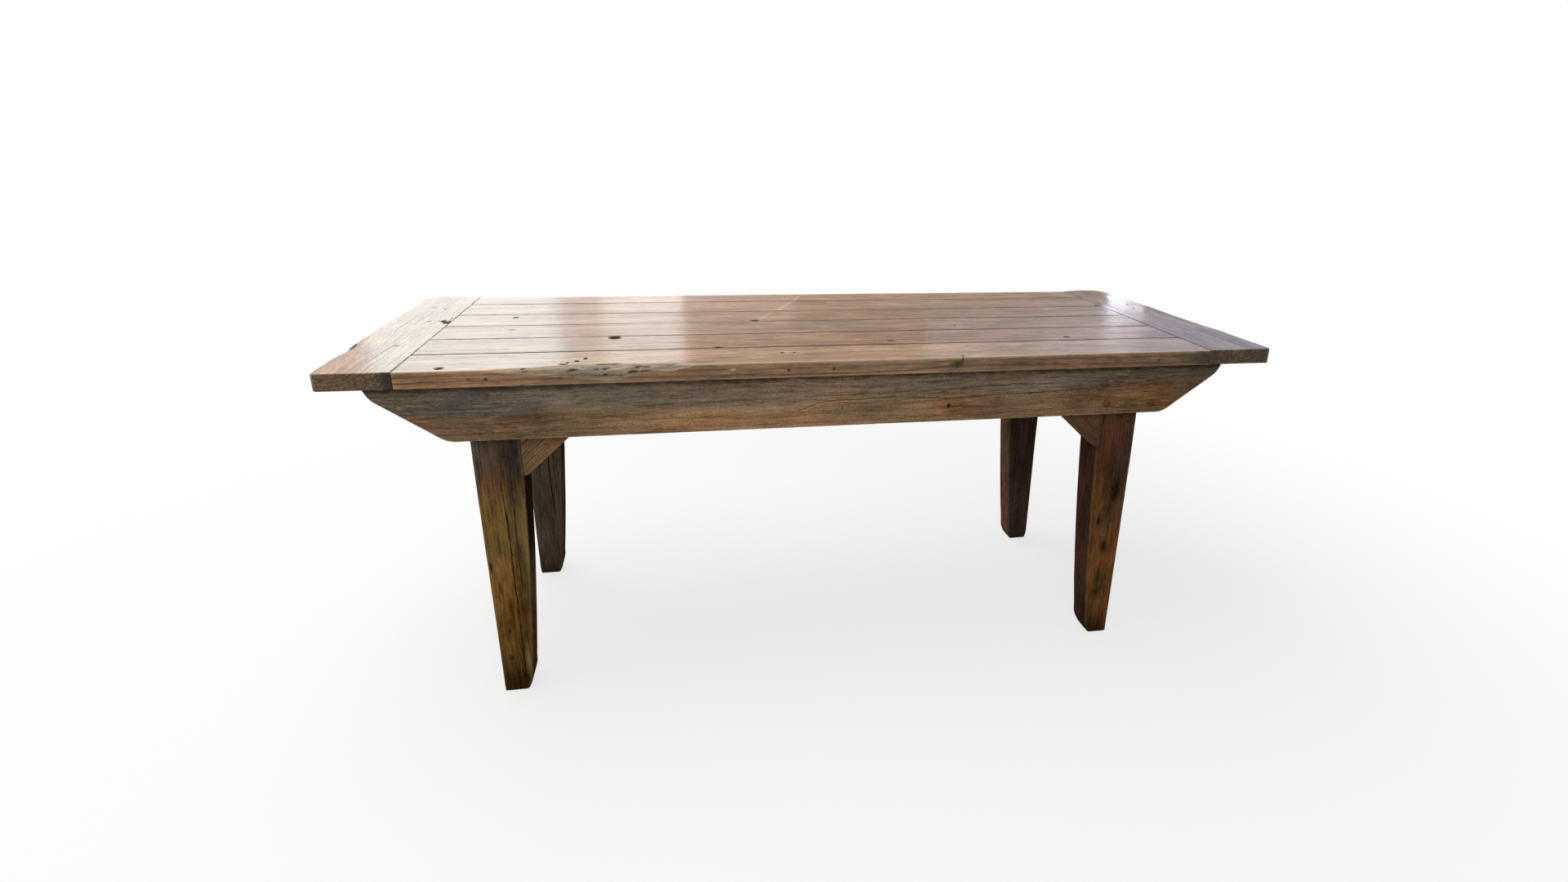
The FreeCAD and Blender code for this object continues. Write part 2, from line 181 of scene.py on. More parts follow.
def timberGrid(piece):
    along, inset, scale = timberRows(piece)
    low, high = squeeze(valuesAt(piece["low"], along), valuesAt(piece["high"], along), inset)
    under, over = squeeze(valuesAt(piece["under"], along), valuesAt(piece["over"], along), inset)
    corners = [np.stack(c, -1) for c in ((high, over), (high, under), (low, under), (low, over))]
    arris = [arrisOf(piece, k, along) for k in range(4)]
    wide, thick = (high - low) * arrisLimit, (over - under) * arrisLimit
    limits = [(wide, thick), (thick, wide), (wide, thick), (thick, wide)]
    reach = [(np.minimum(a[0], lim[0]), np.minimum(a[1], lim[1])) for a, lim in zip(arris, limits)]
    points, worn, grime, sides = [], [], [], []
    middleRow = len(along) // 2
    for k, side in enumerate(sideNames):
        ahead = sideNormals[(k + 1) % 4]
        first = corners[k - 1] + ahead * reach[k - 1][1][:, None]
        last = corners[k] - ahead * reach[k][0][:, None]
        axis = crossAxis[side] - 1
        ends = first[middleRow, axis], last[middleRow, axis]
        step = piece["coarse"] if side in piece.get("plainSides", ()) else piece["fine"]
        places = spread(min(ends), max(ends), step, markSpots(piece["marks"], side, 1))
        places = places if ends[1] > ends[0] else places[::-1]
        for place in places:
            share = (place - ends[0]) / (ends[1] - ends[0])
            points.append(first + (last - first) * share)
            nearBack = math.exp(-abs(place - ends[0]) / piece["wearReach"])
            nearNext = math.exp(-abs(place - ends[1]) / piece["wearReach"])
            worn.append(max(nearBack * arris[k - 1][2], nearNext * arris[k][2]))
            grime.append(max(nearBack * arris[k - 1][3], nearNext * arris[k][3]))
            sides.append(k)
        facets = arris[k][4]
        for turn in np.radians(np.arange(1, facets) * 90 / facets):
            inOwn = ahead * (reach[k][0] * (1 - math.sin(turn)))[:, None]
            inNext = sideNormals[k] * (reach[k][1] * (1 - math.cos(turn)))[:, None]
            points.append(corners[k] - inOwn - inNext)
            worn.append(arris[k][2])
            grime.append(arris[k][3])
            sides.append(k if turn < math.pi / 4 else (k + 1) % 4)
    section = np.stack(points, 1)
    middle = np.stack([(low + high) / 2, (under + over) / 2], -1)[:, None]
    section = middle + (section - middle) * scale[:, None, None]
    grid = np.concatenate([np.broadcast_to(along[:, None, None], section.shape[:2] + (1,)), section], -1)
    shape = grid.shape[:2]
    atEnd = (scale < 1) | (inset > 0)
    return {
        "grid": grid, "worn": np.broadcast_to(worn, shape) * np.where(atEnd, 0.6, 1.0)[:, None],
        "grime": np.broadcast_to(grime, shape).copy(), "side": np.broadcast_to(sides, shape),
        "cap": np.broadcast_to((scale < 1)[:, None], shape),
    }


def gridNormals(grid):
    rows = np.gradient(grid, axis=0)
    columns = np.roll(grid, -1, 1) - np.roll(grid, 1, 1)
    normals = np.cross(rows, columns)
    normals /= np.maximum(np.linalg.norm(normals, axis=-1, keepdims=True), 1e-9)
    middle = grid.shape[0] // 2
    facing = normals[middle, 1] @ np.array((0.0, 0.0, 1.0))  # the second column lies on the over side
    return normals if facing > 0 else -normals


def atLeast(skin, key, amount):
    skin[key] = np.maximum(skin[key], amount)


# noise that is stretched along the grain, its sizes in mm
def grainNoise(skin, sizes, seed):
    return roughNoise(skin["points"] / np.array(sizes), seed)


# a mark's sizes: along, cross, half length, half width, depth
# and for a line: along, cross, along, cross, width, depth
def pressMark(skin, mark, seed):
    kind, side, *sizes = mark
    facing = skin["facing"][side]
    along, cross = skin["along"], skin["axis" + str(crossAxis[side])]
    if kind in lineKinds:
        alongAt, crossAt, alongEnd, crossEnd, width, depth = sizes
        share = (along - alongAt) / (alongEnd - alongAt)
        wander = roughNoise(np.stack([along / 35, along * 0, along * 0 + seed], -1), seed) * width * 2
        off = np.abs(cross - crossAt - (crossEnd - crossAt) * share - wander) / width
        taper = ease(-0.02, 0.12, share) * ease(1.02, 0.85, share)
        mask = ease(1.0, 0.25, off) * (taper > 0) * facing
        if kind != "crack":
            key = {"scratch": "light", "grain": "dim"}[kind]
            skin[key] = 1 - (1 - skin[key]) * (1 - mask * taper * depth)
            return
        skin["sink"] += mask * taper * depth
        atLeast(skin, "grime", mask * np.minimum(1, taper * 2))
        return
    alongAt, crossAt, long, wide, depth = sizes
    along, cross = along - alongAt, cross - crossAt
    near = (np.abs(along) < long * 4) & (np.abs(cross) < wide * 4)
    if not near.any():
        return
    points = np.stack([along / max(long, 3.0), cross / max(wide, 3.0), cross * 0], -1)
    off = np.hypot(along / long, cross / wide) + 0.45 * roughNoise(points * 1.3, seed)
    mask = ease(1.1, 0.75, off) * facing
    soft = np.exp(-((off / 1.1) ** 2)) * facing
    if kind == "hole":
        skin["sink"] += mask * depth
        atLeast(skin, "grime", ease(1.3, 0.8, off) * facing)
        skin["lift"] += soft * wide * 0.5
    elif kind == "nail":
        halo = np.exp(-np.abs(along) / (long * 3) - np.abs(cross) / (wide * 1.6)) * facing
        skin["sink"] += mask * depth
        atLeast(skin, "grime", np.maximum(mask * 0.68, halo * 0.35))
    elif kind == "knot":
        ringed = np.exp(-(((off - 1) / 0.16) ** 2)) * facing
        skin["sink"] += ringed * depth - soft * depth * 0.4
        atLeast(skin, "knot", ease(1.12, 0.85, off) * facing)
        atLeast(skin, "grime", ringed * 0.6)
        skin["lift"] += np.exp(-((off / 2.2) ** 2)) * facing * wide * 1.5
    elif kind == "swirl":
        skin["lift"] += np.exp(-((off / 1.2) ** 2)) * facing * depth
    elif kind == "plug":
        ringed = np.exp(-(((off - 1) / 0.14) ** 2)) * facing
        skin["sink"] += ringed * depth
        atLeast(skin, "grime", np.maximum(ringed * 0.75, mask * 0.3))
    elif kind == "chip":
        rough = 0.7 + roughNoise(points * 2.5, seed + 5)
        skin["sink"] += mask * depth * rough
        atLeast(skin, "light", mask * 0.5)
    elif kind in raises:
        atLeast(skin, raises[kind], soft * depth)
    elif kind == "shade":
        skin["dim"] = 1 - (1 - skin["dim"]) * (1 - soft * depth)
    elif kind == "gold":
        skin["golden"] += soft * depth


# builds the piece, paints it, presses its marks in and stands it on the frame
# skin: values at each point of the piece, such as its grime and painted shade, wear and greyness
def makeTimber(name, node, material, piece):
    built = timberGrid(piece)
    grid, seed = built["grid"], piece["seed"]
    normals = gridNormals(grid)
    skin = {"along": grid[..., 0], "axis1": grid[..., 1], "axis2": grid[..., 2]}
    skin["facing"] = {}
    for k, side in enumerate(sideNames):
        towards = normals[..., 1] * sideNormals[k][0] + normals[..., 2] * sideNormals[k][1]
        skin["facing"][side] = ease(0.45, 0.85, towards)
    for key in ("sink", "light", "knot", "lift", "dim", "amber"):
        skin[key] = np.zeros(grid.shape[:2])
    skin["worn"], skin["grime"] = built["worn"].copy(), built["grime"]
    skin["golden"], skin["grey"] = (np.full(grid.shape[:2], piece["tone"][key]) for key in (0, 1))
    skin["points"] = grid
    piece["paint"](skin)
    for number, mark in enumerate(piece["marks"]):
        pressMark(skin, mark, seed + 7 * number)

    sway = grainNoise(skin, (210.0, 60.0, 60.0), seed)
    dents = grainNoise(skin, (26.0, 11.0, 11.0), seed + 3)
    still = np.isin(built["side"], [sideNames.index(s) for s in piece.get("stillSides", ())])
    amount = np.where(still | built["cap"], 0.12, 1.0) * piece["lumps"]
    chipped = np.clip(grainNoise(skin, 24.0, seed + 9) - 0.08, 0, 1) * skin["worn"] * piece["chips"]
    pushed = amount * (sway * 1.6 + dents * 0.45) - chipped - skin.get("rough", 0.0)
    moved = grid + normals * pushed[..., None]
    for k, side in enumerate(sideNames):
        inward = np.array((0.0, *sideNormals[k])) * (skin["sink"] * skin["facing"][side])[..., None]
        moved = moved - inward

    rows, columns = grid.shape[:2]
    centres = np.stack([moved[0].mean(0), moved[-1].mean(0)])
    local = np.concatenate([moved.reshape(-1, 3), centres])
    world = (piece["origin"] + local @ piece["axes"]) * mm
    index = np.arange(rows * columns).reshape(rows, columns)
    following = np.roll(index, -1, 1)
    quads = np.stack([index[:-1], index[1:], following[1:], following[:-1]], -1).reshape(-1, 4)
    head = np.stack([np.full(columns, rows * columns), index[0], following[0]], -1)
    tail = np.stack([np.full(columns, rows * columns + 1), following[-1], index[-1]], -1)
    a, b, c = (world[quads[:, k]] for k in (0, 1, 2))
    if np.einsum("ij,ij->i", a, np.cross(b, c)).sum() < 0:  # turn the faces outwards
        quads, head, tail = quads[:, ::-1], head[:, ::-1], tail[:, ::-1]
    mesh = bpy.data.meshes.new(name)
    mesh.from_pydata(world.tolist(), [], quads.tolist() + head.tolist() + tail.tolist())
    mesh.polygons.foreach_set("use_smooth", np.ones(len(mesh.polygons), bool))

    def flat(values):
        return np.append(values.reshape(-1), (values[0, 0], values[-1, 0]))

    shift = np.array((137.0 * seed, -piece["pith"][0], -piece["pith"][1]))
    middle = np.array((0.0, *piece["middle"]))
    timber = (np.concatenate([grid.reshape(-1, 3), centres]) - middle + shift) / 10  # in cm
    coat = np.stack([flat(np.clip(skin[k], 0, 1)) for k in ("golden", "grey", "grime", "worn")], -1)
    # bright: how much lighter or darker the wood is painted, its own tone and also painted shade and
    # painted light on the legs
    bright = 1 - np.clip(skin["dim"], -1, 1)
    knots = np.stack([flat(skin["lift"]) / 10, flat(skin["knot"]), flat(skin["light"]), flat(bright)], -1)
    layers = (
        ("timber", "FLOAT_VECTOR", "vector", timber),
        ("coat", "FLOAT_COLOR", "color", coat),
        ("knots", "FLOAT_COLOR", "color", knots),
        ("amber", "FLOAT", "value", flat(skin["amber"])),
    )
    for label, kind, key, values in layers:
        layer = mesh.attributes.new(label, kind, "POINT")
        layer.data.foreach_set(key, values.astype(np.float32).ravel())
    mesh.materials.append(material)
    shown = bpy.data.objects.new(name, mesh)
    scene.collection.objects.link(shown)
    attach(shown, "root")
    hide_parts(node)


# node helpers
def feed(tree, socket, value):
    if isinstance(value, bpy.types.NodeSocket):
        tree.links.new(value, socket)
    elif value is not None:
        socket.default_value = (*value, 1.0) if socket.type == "RGBA" else value  # adds a colour's alpha


def calc(tree, operation, a, b=None, c=None, clamp=False):
    made = tree.nodes.new("ShaderNodeMath")
    made.operation, made.use_clamp = operation, clamp
    for socket, value in zip(made.inputs, (a, b, c)):
        feed(tree, socket, value)
    return made.outputs[0]


def times(tree, a, b):
    return calc(tree, "MULTIPLY", a, b)


def plus(tree, a, b):
    return calc(tree, "ADD", a, b)


def minus(tree, a, b):
    return calc(tree, "SUBTRACT", a, b)


def most(tree, a, b):
    return calc(tree, "MAXIMUM", a, b)


def vectorCalc(tree, operation, a, b=None):
    made = tree.nodes.new("ShaderNodeVectorMath")
    made.operation = operation
    feed(tree, made.inputs[0], a)
    feed(tree, made.inputs[1], b)
    return made.outputs["Value" if operation == "LENGTH" else "Vector"]


def mixColour(tree, share, a, b, blend="MIX"):
    made = tree.nodes.new("ShaderNodeMix")
    made.data_type, made.blend_type = "RGBA", blend
    for number, value in ((0, share), (6, a), (7, b)):
        feed(tree, made.inputs[number], value)
    return made.outputs[2]


def noiseAt(tree, vector, scale, detail=2.0, output="Fac"):
    made = tree.nodes.new("ShaderNodeTexNoise")
    for key, value in (("Vector", vector), ("Scale", scale), ("Detail", detail)):
        feed(tree, made.inputs[key], value)
    return made.outputs[output]


def between(tree, value, low, high, bottom=0.0, top=1.0):
    made = tree.nodes.new("ShaderNodeMapRange")
    made.interpolation_type = "SMOOTHSTEP"
    keys = ("Value", "From Min", "From Max", "To Min", "To Max")
    for key, given in zip(keys, (value, low, high, bottom, top)):
        feed(tree, made.inputs[key], given)
    return made.outputs["Result"]


def partsOf(tree, vector):
    made = tree.nodes.new("ShaderNodeSeparateXYZ")
    feed(tree, made.inputs[0], vector)
    return made.outputs


def startMaterial(name):
    material = bpy.data.materials.new(name)
    material.use_nodes = True
    return material, material.node_tree, material.node_tree.nodes["Principled BSDF"]


def addBump(tree, shader, height, strength, distance):
    bump = tree.nodes.new("ShaderNodeBump")
    for key, value in (("Height", height), ("Strength", strength), ("Distance", distance)):
        feed(tree, bump.inputs[key], value)
    feed(tree, shader.inputs["Normal"], bump.outputs["Normal"])


def startGroup(name, inputs, outputs):
    tree = bpy.data.node_groups.new(name, "ShaderNodeTree")
    for label, value in inputs.items():
        kind = "NodeSocketVector" if value is None else "NodeSocketFloat"
        socket = tree.interface.new_socket(label, in_out="INPUT", socket_type=kind)
        if value is not None:
            socket.default_value = value
    for label in outputs:
        tree.interface.new_socket(label, in_out="OUTPUT", socket_type="NodeSocketFloat")
    return tree, tree.nodes.new("NodeGroupInput").outputs, tree.nodes.new("NodeGroupOutput").inputs


def placeGroup(tree, group, **values):
    made = tree.nodes.new("ShaderNodeGroup")
    made.node_tree = group
    for label, value in values.items():
        feed(tree, made.inputs[label], value)
    return made.outputs


# growth rings round a wandering pith: dark late wood at the end of each ring
def makeRingGroup():
    inputs = {"Timber": None, "Lift": 0.0, "Width": 0.35, "Wander": 2.0, "Wiggle": 0.4}
    tree, given, out = startGroup("pineRings", inputs, ("Late", "Ring"))
    stretched = vectorCalc(tree, "MULTIPLY", given["Timber"], (0.018, 0.03, 0.03))
    slow = noiseAt(tree, stretched, 1.0, 1.0, "Color")
    lean = vectorCalc(tree, "SUBTRACT", slow, (0.5, 0.5, 0.5))
    scaled = tree.nodes.new("ShaderNodeVectorMath")
    scaled.operation = "SCALE"
    feed(tree, scaled.inputs[0], lean)
    feed(tree, scaled.inputs["Scale"], given["Wander"])
    placed = vectorCalc(tree, "ADD", given["Timber"], scaled.outputs["Vector"])
    radius = vectorCalc(tree, "LENGTH", vectorCalc(tree, "MULTIPLY", placed, (0.0, 1.0, 1.0)))
    wave = noiseAt(tree, vectorCalc(tree, "MULTIPLY", given["Timber"], (0.06, 0.55, 0.55)), 1.0, 2.0)
    wave = times(tree, minus(tree, wave, 0.5), given["Wiggle"])
    phase = plus(tree, plus(tree, radius, given["Lift"]), wave)
    phase = calc(tree, "DIVIDE", phase, given["Width"])
    part = calc(tree, "FRACT", phase)
    rise, fall = between(tree, part, 0.45, 0.93), between(tree, part, 1.0, 0.95)
    feed(tree, out["Late"], times(tree, rise, fall))
    white = tree.nodes.new("ShaderNodeTexWhiteNoise")
    white.noise_dimensions = "1D"
    feed(tree, white.inputs["W"], calc(tree, "FLOOR", phase))
    feed(tree, out["Ring"], white.outputs["Value"])
    return tree


# streaks along the grain: fine fibres, short dark pores and broad bands
def makeFibreGroup():
    outputs = ("Fibre", "Specks", "Pores", "Streak", "Lines", "Hairs", "Scuffs")
    tree, given, out = startGroup("pineFibres", {"Timber": None}, outputs)
    shapes = {  # how often along, across and through in each cm, and how many layers
        "Fibre": ((0.15, 3.4, 3.4), 5.0),
        "Specks": ((2.2, 5.0, 5.0), 3.0),
        "Pores": ((0.40, 14.0, 14.0), 2.0),
        "Streak": ((0.022, 0.6, 0.6), 6.0),
        "Lines": ((0.05, 2.6, 2.6), 3.0),
        "Hairs": ((0.07, 1.3, 1.3), 3.0),
        "Scuffs": ((0.09, 1.7, 1.7), 4.0),
    }
    cuts = {"Pores": (0.6, 0.7), "Lines": (0.60, 0.68)}
    lineMiddles = {"Hairs": 0.5, "Scuffs": 0.43}  # thin lines where the noise crosses this value
    for label, (sizes, detail) in shapes.items():
        value = noiseAt(tree, vectorCalc(tree, "MULTIPLY", given["Timber"], sizes), 1.0, detail)
        if label in cuts:
            value = between(tree, value, *cuts[label])
        elif label in lineMiddles:
            off = calc(tree, "ABSOLUTE", minus(tree, value, lineMiddles[label]))
            value = between(tree, off, 0.03, 0.006)
        feed(tree, out[label], value)
    return tree


# breaks up worn edges and the grime, which also holds painted shadow, so that neither ends in a clean
# line and adds dirt, pale flecks and cloudy tints
def makeWearGroup():
    outputs = ("Rubbed", "Soiled", "Mottle", "Dirt", "Flecks", "Tint")
    tree, given, out = startGroup("handWear", {"Timber": None, "Worn": 0.0, "Grime": 0.0}, outputs)

    def clouds(sizes, detail):
        return noiseAt(tree, vectorCalc(tree, "MULTIPLY", given["Timber"], sizes), 1.0, detail)

    blotch = times(tree, minus(tree, clouds((0.6, 1.6, 1.6), 4.0), 0.5), 0.9)
    for label, source, soft in (("Rubbed", "Worn", 0.35), ("Soiled", "Grime", 0.3)):
        broken = between(tree, plus(tree, given[source], blotch), 0.5 - soft, 0.5 + soft)
        feed(tree, out[label], times(tree, broken, calc(tree, "POWER", given[source], 0.5)))
    feed(tree, out["Mottle"], clouds((0.07, 0.22, 0.22), 3.0))
    feed(tree, out["Dirt"], between(tree, clouds((0.14, 0.36, 0.36), 7.0), 0.5, 0.68))
    feed(tree, out["Flecks"], between(tree, clouds((1.1, 3.2, 3.2), 4.0), 0.63, 0.72))
    feed(tree, out["Tint"], between(tree, clouds((0.045, 0.13, 0.13), 4.0), 0.36, 0.64))
    return tree


ringGroup, fibreGroup, wearGroup = makeRingGroup(), makeFibreGroup(), makeWearGroup()
print("grain, fibre and wear groups built")


# colours and gloss: what most of the pine shares, then one dictionary for each finish
oldPine = {
    "knot": (0.10, 0.05, 0.026), "grime": (0.012, 0.009, 0.007),
    "fibre": (0.80, 1.20),  # darkest and lightest fibre
    "specks": 0.14, "lines": 0.3, "bands": 1.0, "hairs": 0.4, "scuffs": 0.2, "dirt": 0.3,
    "flecks": 0.16,
    "ringWidth": 0.40,  # cm
    "wander": 0.8, "rough": (0.42, 0.65),
    "dull": 0.95,  # roughness where grimy and where shadow is painted
    "greyDull": 0.9,  # share of that where grey
    "shine": 0.04, "bump": 0.45,
}
topPine = oldPine | {
    "gold": ((0.66, 0.41, 0.255), (0.42, 0.22, 0.12)),  # early wood, late wood
    "dark": ((0.36, 0.225, 0.112), (0.17, 0.092, 0.040)),
    "grey": (0.31, 0.27, 0.205), "grime": (0.016, 0.011, 0.008), "worn": (0.76, 0.55, 0.36),
    "tints": ((0.97, 1.03, 0.98), (1.05, 0.97, 1.0)),
    "mottle": (0.80, 1.18), "fibre": (0.74, 1.22), "specks": 0.12, "lines": 0.45, "scuffs": 0.12,
    "dirt": 0.14, "flecks": 0.06, "ringWidth": 0.75, "wander": 2.0, "rough": (0.12, 0.29), "dull": 0.75,
    "greyDull": 0.3, "shine": 0.28, "bump": 0.25,
}
# the leg colours are darker than the rail's, partly their own colour and partly painted shade from the
# top above them
legPine = oldPine | {
    "gold": ((0.34, 0.20, 0.056), (0.252, 0.146, 0.041)),
    "dark": ((0.162, 0.112, 0.084), (0.117, 0.080, 0.060)),
    "grey": (0.15, 0.128, 0.106), "knot": (0.05, 0.022, 0.008), "worn": (0.36, 0.24, 0.10),
    "tints": ((0.86, 1.0, 0.98), (1.18, 1.0, 0.88)),
    "mottle": (0.72, 1.25), "shine": 0.0,
}
finishes = {
    "topPine": topPine,
    "endPine": topPine | {"rough": (0.08, 0.22), "specks": 0.2, "scuffs": 0.24, "dirt": 0.2},
    "railPine": oldPine | {
        "gold": ((0.70, 0.465, 0.26), (0.54, 0.345, 0.178)),
        "dark": ((0.44, 0.335, 0.242), (0.33, 0.248, 0.175)),
        "grey": (0.19, 0.187, 0.166), "knot": (0.07, 0.036, 0.018), "grime": (0.03, 0.021, 0.016),
        "worn": (0.62, 0.48, 0.31),
        "tints": ((0.95, 1.03, 1.02), (1.07, 0.96, 0.92)),
        "mottle": (0.86, 1.12), "fibre": (0.86, 1.14), "specks": 0.25, "lines": 0.2, "bands": 0.35,
        "scuffs": 0.34, "flecks": 0.26, "dirt": 0.14, "ringWidth": 0.5, "wander": 1.4,
        "rough": (0.40, 0.60), "dull": 0.8, "shine": 0.05, "bump": 0.4,
    },
    "legPine": legPine,
    "legPineRed": legPine | {
        "gold": ((0.30, 0.137, 0.045), (0.22, 0.098, 0.032)),
        "dark": ((0.142, 0.078, 0.057), (0.102, 0.056, 0.041)),
        "grey": (0.092, 0.070, 0.060), "knot": (0.04, 0.016, 0.007), "grime": (0.012, 0.010, 0.009),
        "worn": (0.30, 0.175, 0.07),
        "tints": ((0.80, 0.92, 0.95), (1.25, 0.98, 0.88)),
    },
    "bracePine": legPine | {
        "gold": ((0.40, 0.24, 0.125), (0.22, 0.125, 0.062)),
        "dark": ((0.26, 0.16, 0.105), (0.14, 0.083, 0.055)),
        "mottle": (0.8, 1.15),
    },
    "bracePineRed": legPine | {
        "gold": ((0.30, 0.145, 0.068), (0.17, 0.08, 0.037)),
        "dark": ((0.21, 0.108, 0.072), (0.12, 0.06, 0.04)),
        "mottle": (0.8, 1.15),
    },
    "innerPine": oldPine | {
        "gold": ((0.40, 0.27, 0.15), (0.24, 0.14, 0.07)),
        "dark": ((0.27, 0.19, 0.115), (0.16, 0.105, 0.06)),
        "grey": (0.24, 0.20, 0.15), "grime": (0.04, 0.03, 0.022), "worn": (0.44, 0.32, 0.20),
        "tints": ((0.95, 1.0, 1.0), (1.05, 1.0, 0.95)),
        "mottle": (0.78, 1.18), "flecks": 0.1, "wander": 2.0, "rough": (0.62, 0.82), "dull": 0.9,
        "shine": 0.2, "bump": 0.5,
    },
}


amberWash = (1.18, 0.84, 0.60)  # where the old finish has stayed
fibreDepth = 0.0004  # m


def attributeAt(tree, label):
    made = tree.nodes.new("ShaderNodeAttribute")
    made.attribute_name = label
    return made.outputs


def pineMaterial(name):
    look = finishes[name]
    material, tree, shader = startMaterial(name)
    timber = attributeAt(tree, "timber")["Vector"]
    coat, knots = attributeAt(tree, "coat"), attributeAt(tree, "knots")
    golden, grey, grime = partsOf(tree, coat["Color"])
    lift, knot, light = partsOf(tree, knots["Color"])
    ringSizes = {"Width": look["ringWidth"], "Wander": look["wander"], "Wiggle": look["wander"] * 0.2}
    rings = placeGroup(tree, ringGroup, Timber=timber, Lift=lift, **ringSizes)
    fibres = placeGroup(tree, fibreGroup, Timber=timber)
    wear = placeGroup(tree, wearGroup, Timber=timber, Worn=coat["Alpha"], Grime=grime)

    band = times(tree, minus(tree, fibres["Streak"], 0.5), look["bands"])
    tone = calc(tree, "ADD", golden, band, clamp=True)
    late = times(tree, rings["Late"], between(tree, rings["Ring"], 0.0, 1.0, 0.45, 1.0))
    dark, gold = (mixColour(tree, late, *look[key]) for key in ("dark", "gold"))
    colour = mixColour(tree, tone, dark, gold)
    colour = mixColour(tree, 1.0, colour, mixColour(tree, wear["Tint"], *look["tints"]), "MULTIPLY")
    warmed = mixColour(tree, 1.0, colour, amberWash, "MULTIPLY")
    colour = mixColour(tree, attributeAt(tree, "amber")["Fac"], colour, warmed)
    shade = between(tree, fibres["Fibre"], 0.3, 0.7, *look["fibre"])
    specks = between(tree, fibres["Specks"], 0.3, 0.7, 1 - look["specks"], 1 + look["specks"])
    # the fourth channel of the attribute read above lightens or darkens the wood, also as painted shade
    # and painted light on the legs
    shade = times(tree, times(tree, shade, specks), knots["Alpha"])
    shade = times(tree, shade, between(tree, wear["Mottle"], 0.3, 0.7, *look["mottle"]))
    for label, depth in (("Pores", 0.4), ("Lines", look["lines"]), ("Hairs", look["hairs"])):
        kept = minus(tree, 1.0, times(tree, fibres[label], depth))
        shade = times(tree, shade, kept)
    shades = tree.nodes.new("ShaderNodeCombineXYZ")
    for socket in shades.inputs:
        feed(tree, socket, shade)
    greyed = times(tree, grey, between(tree, fibres["Fibre"], 0.3, 0.6, 0.6, 1.0))
    colour = mixColour(tree, greyed, colour, look["grey"])
    colour = mixColour(tree, 1.0, colour, shades.outputs[0], "MULTIPLY")
    scuffed = times(tree, fibres["Scuffs"], look["scuffs"])
    # the last share, from the grime layer, also lays in the painted shadow along the rail's top
    coats = (
        (times(tree, wear["Dirt"], look["dirt"]), "grime"),
        (most(tree, scuffed, times(tree, wear["Flecks"], look["flecks"])), "worn"),
        (times(tree, knot, 0.85), "knot"),
        (times(tree, wear["Rubbed"], 0.75), "worn"),
        (light, "worn"),
        (wear["Soiled"], "grime"),
    )
    for share, key in coats:
        colour = mixColour(tree, share, colour, look[key])
    feed(tree, shader.inputs["Base Color"], colour)

    dull = plus(tree, times(tree, late, 0.3), times(tree, fibres["Pores"], 0.5))
    dull = plus(tree, dull, times(tree, minus(tree, fibres["Fibre"], 0.35), 0.9))
    gloss = between(tree, dull, 0.0, 1.0, *look["rough"])
    matt = most(tree, wear["Soiled"], times(tree, grey, look["greyDull"]))
    matt = times(tree, matt, minus(tree, look["dull"], gloss))
    feed(tree, shader.inputs["Roughness"], plus(tree, gloss, matt))
    shader.inputs["Specular IOR Level"].default_value = look["shine"]
    height = plus(tree, times(tree, late, 0.35), times(tree, fibres["Fibre"], 0.5))
    height = minus(tree, height, times(tree, fibres["Pores"], 0.5))
    addBump(tree, shader, height, look["bump"], fibreDepth)
    return material


pines = {name: pineMaterial(name) for name in finishes}
print("pine finishes:", ", ".join(pines))


# shared settings of most timbers; each piece changes what it needs
def timberSettings(**changes):
    piece = {
        "rim": 2.0, "step": 5.0, "fine": 5.0, "coarse": 10.0, "wearReach": 3.5, "lumps": 0.5,
        "chips": 2.0, "axes": np.eye(3), "origin": np.zeros(3), "marks": {}, "tone": (0.4, 0.0),
        "paint": lambda skin: None,
    }
    piece.update(changes)
    rows = [(side, *row) for side, given in piece["marks"].items() for row in given]
    piece["marks"] = [(kind, side, *sizes) for side, kind, *places in rows for sizes in places]
    piece["middle"] = [
        sum(valuesAt(piece[key], np.array([sum(piece["span"]) / 2]))[0] for key in pair) / 2
        for pair in (("low", "high"), ("under", "over"))
    ]
    return piece


leastArris, arrisWave = 0.8, 90.0  # mm


def wornEdge(reach, swing, seed):
    return lambda along: np.maximum(leastArris, reach + swing * 2 * lineNoise(along, arrisWave, seed))


# an arris that wanders on both of its sides
def wornArris(reach, swing, seed, worn, grime, facets):
    return wornEdge(reach, swing, seed), wornEdge(reach, swing, seed + 1), worn, grime, facets


# arrises that close a joint: reach on both sides, wear, grime, facets
jointArris = (1.2, 1.2, 0.0, 0.9, 4)
endArris = (0.8, 0.8, 0.0, 0.7, 3)
tightArris = (1.0, 1.0, 0.0, 0.8, 3)

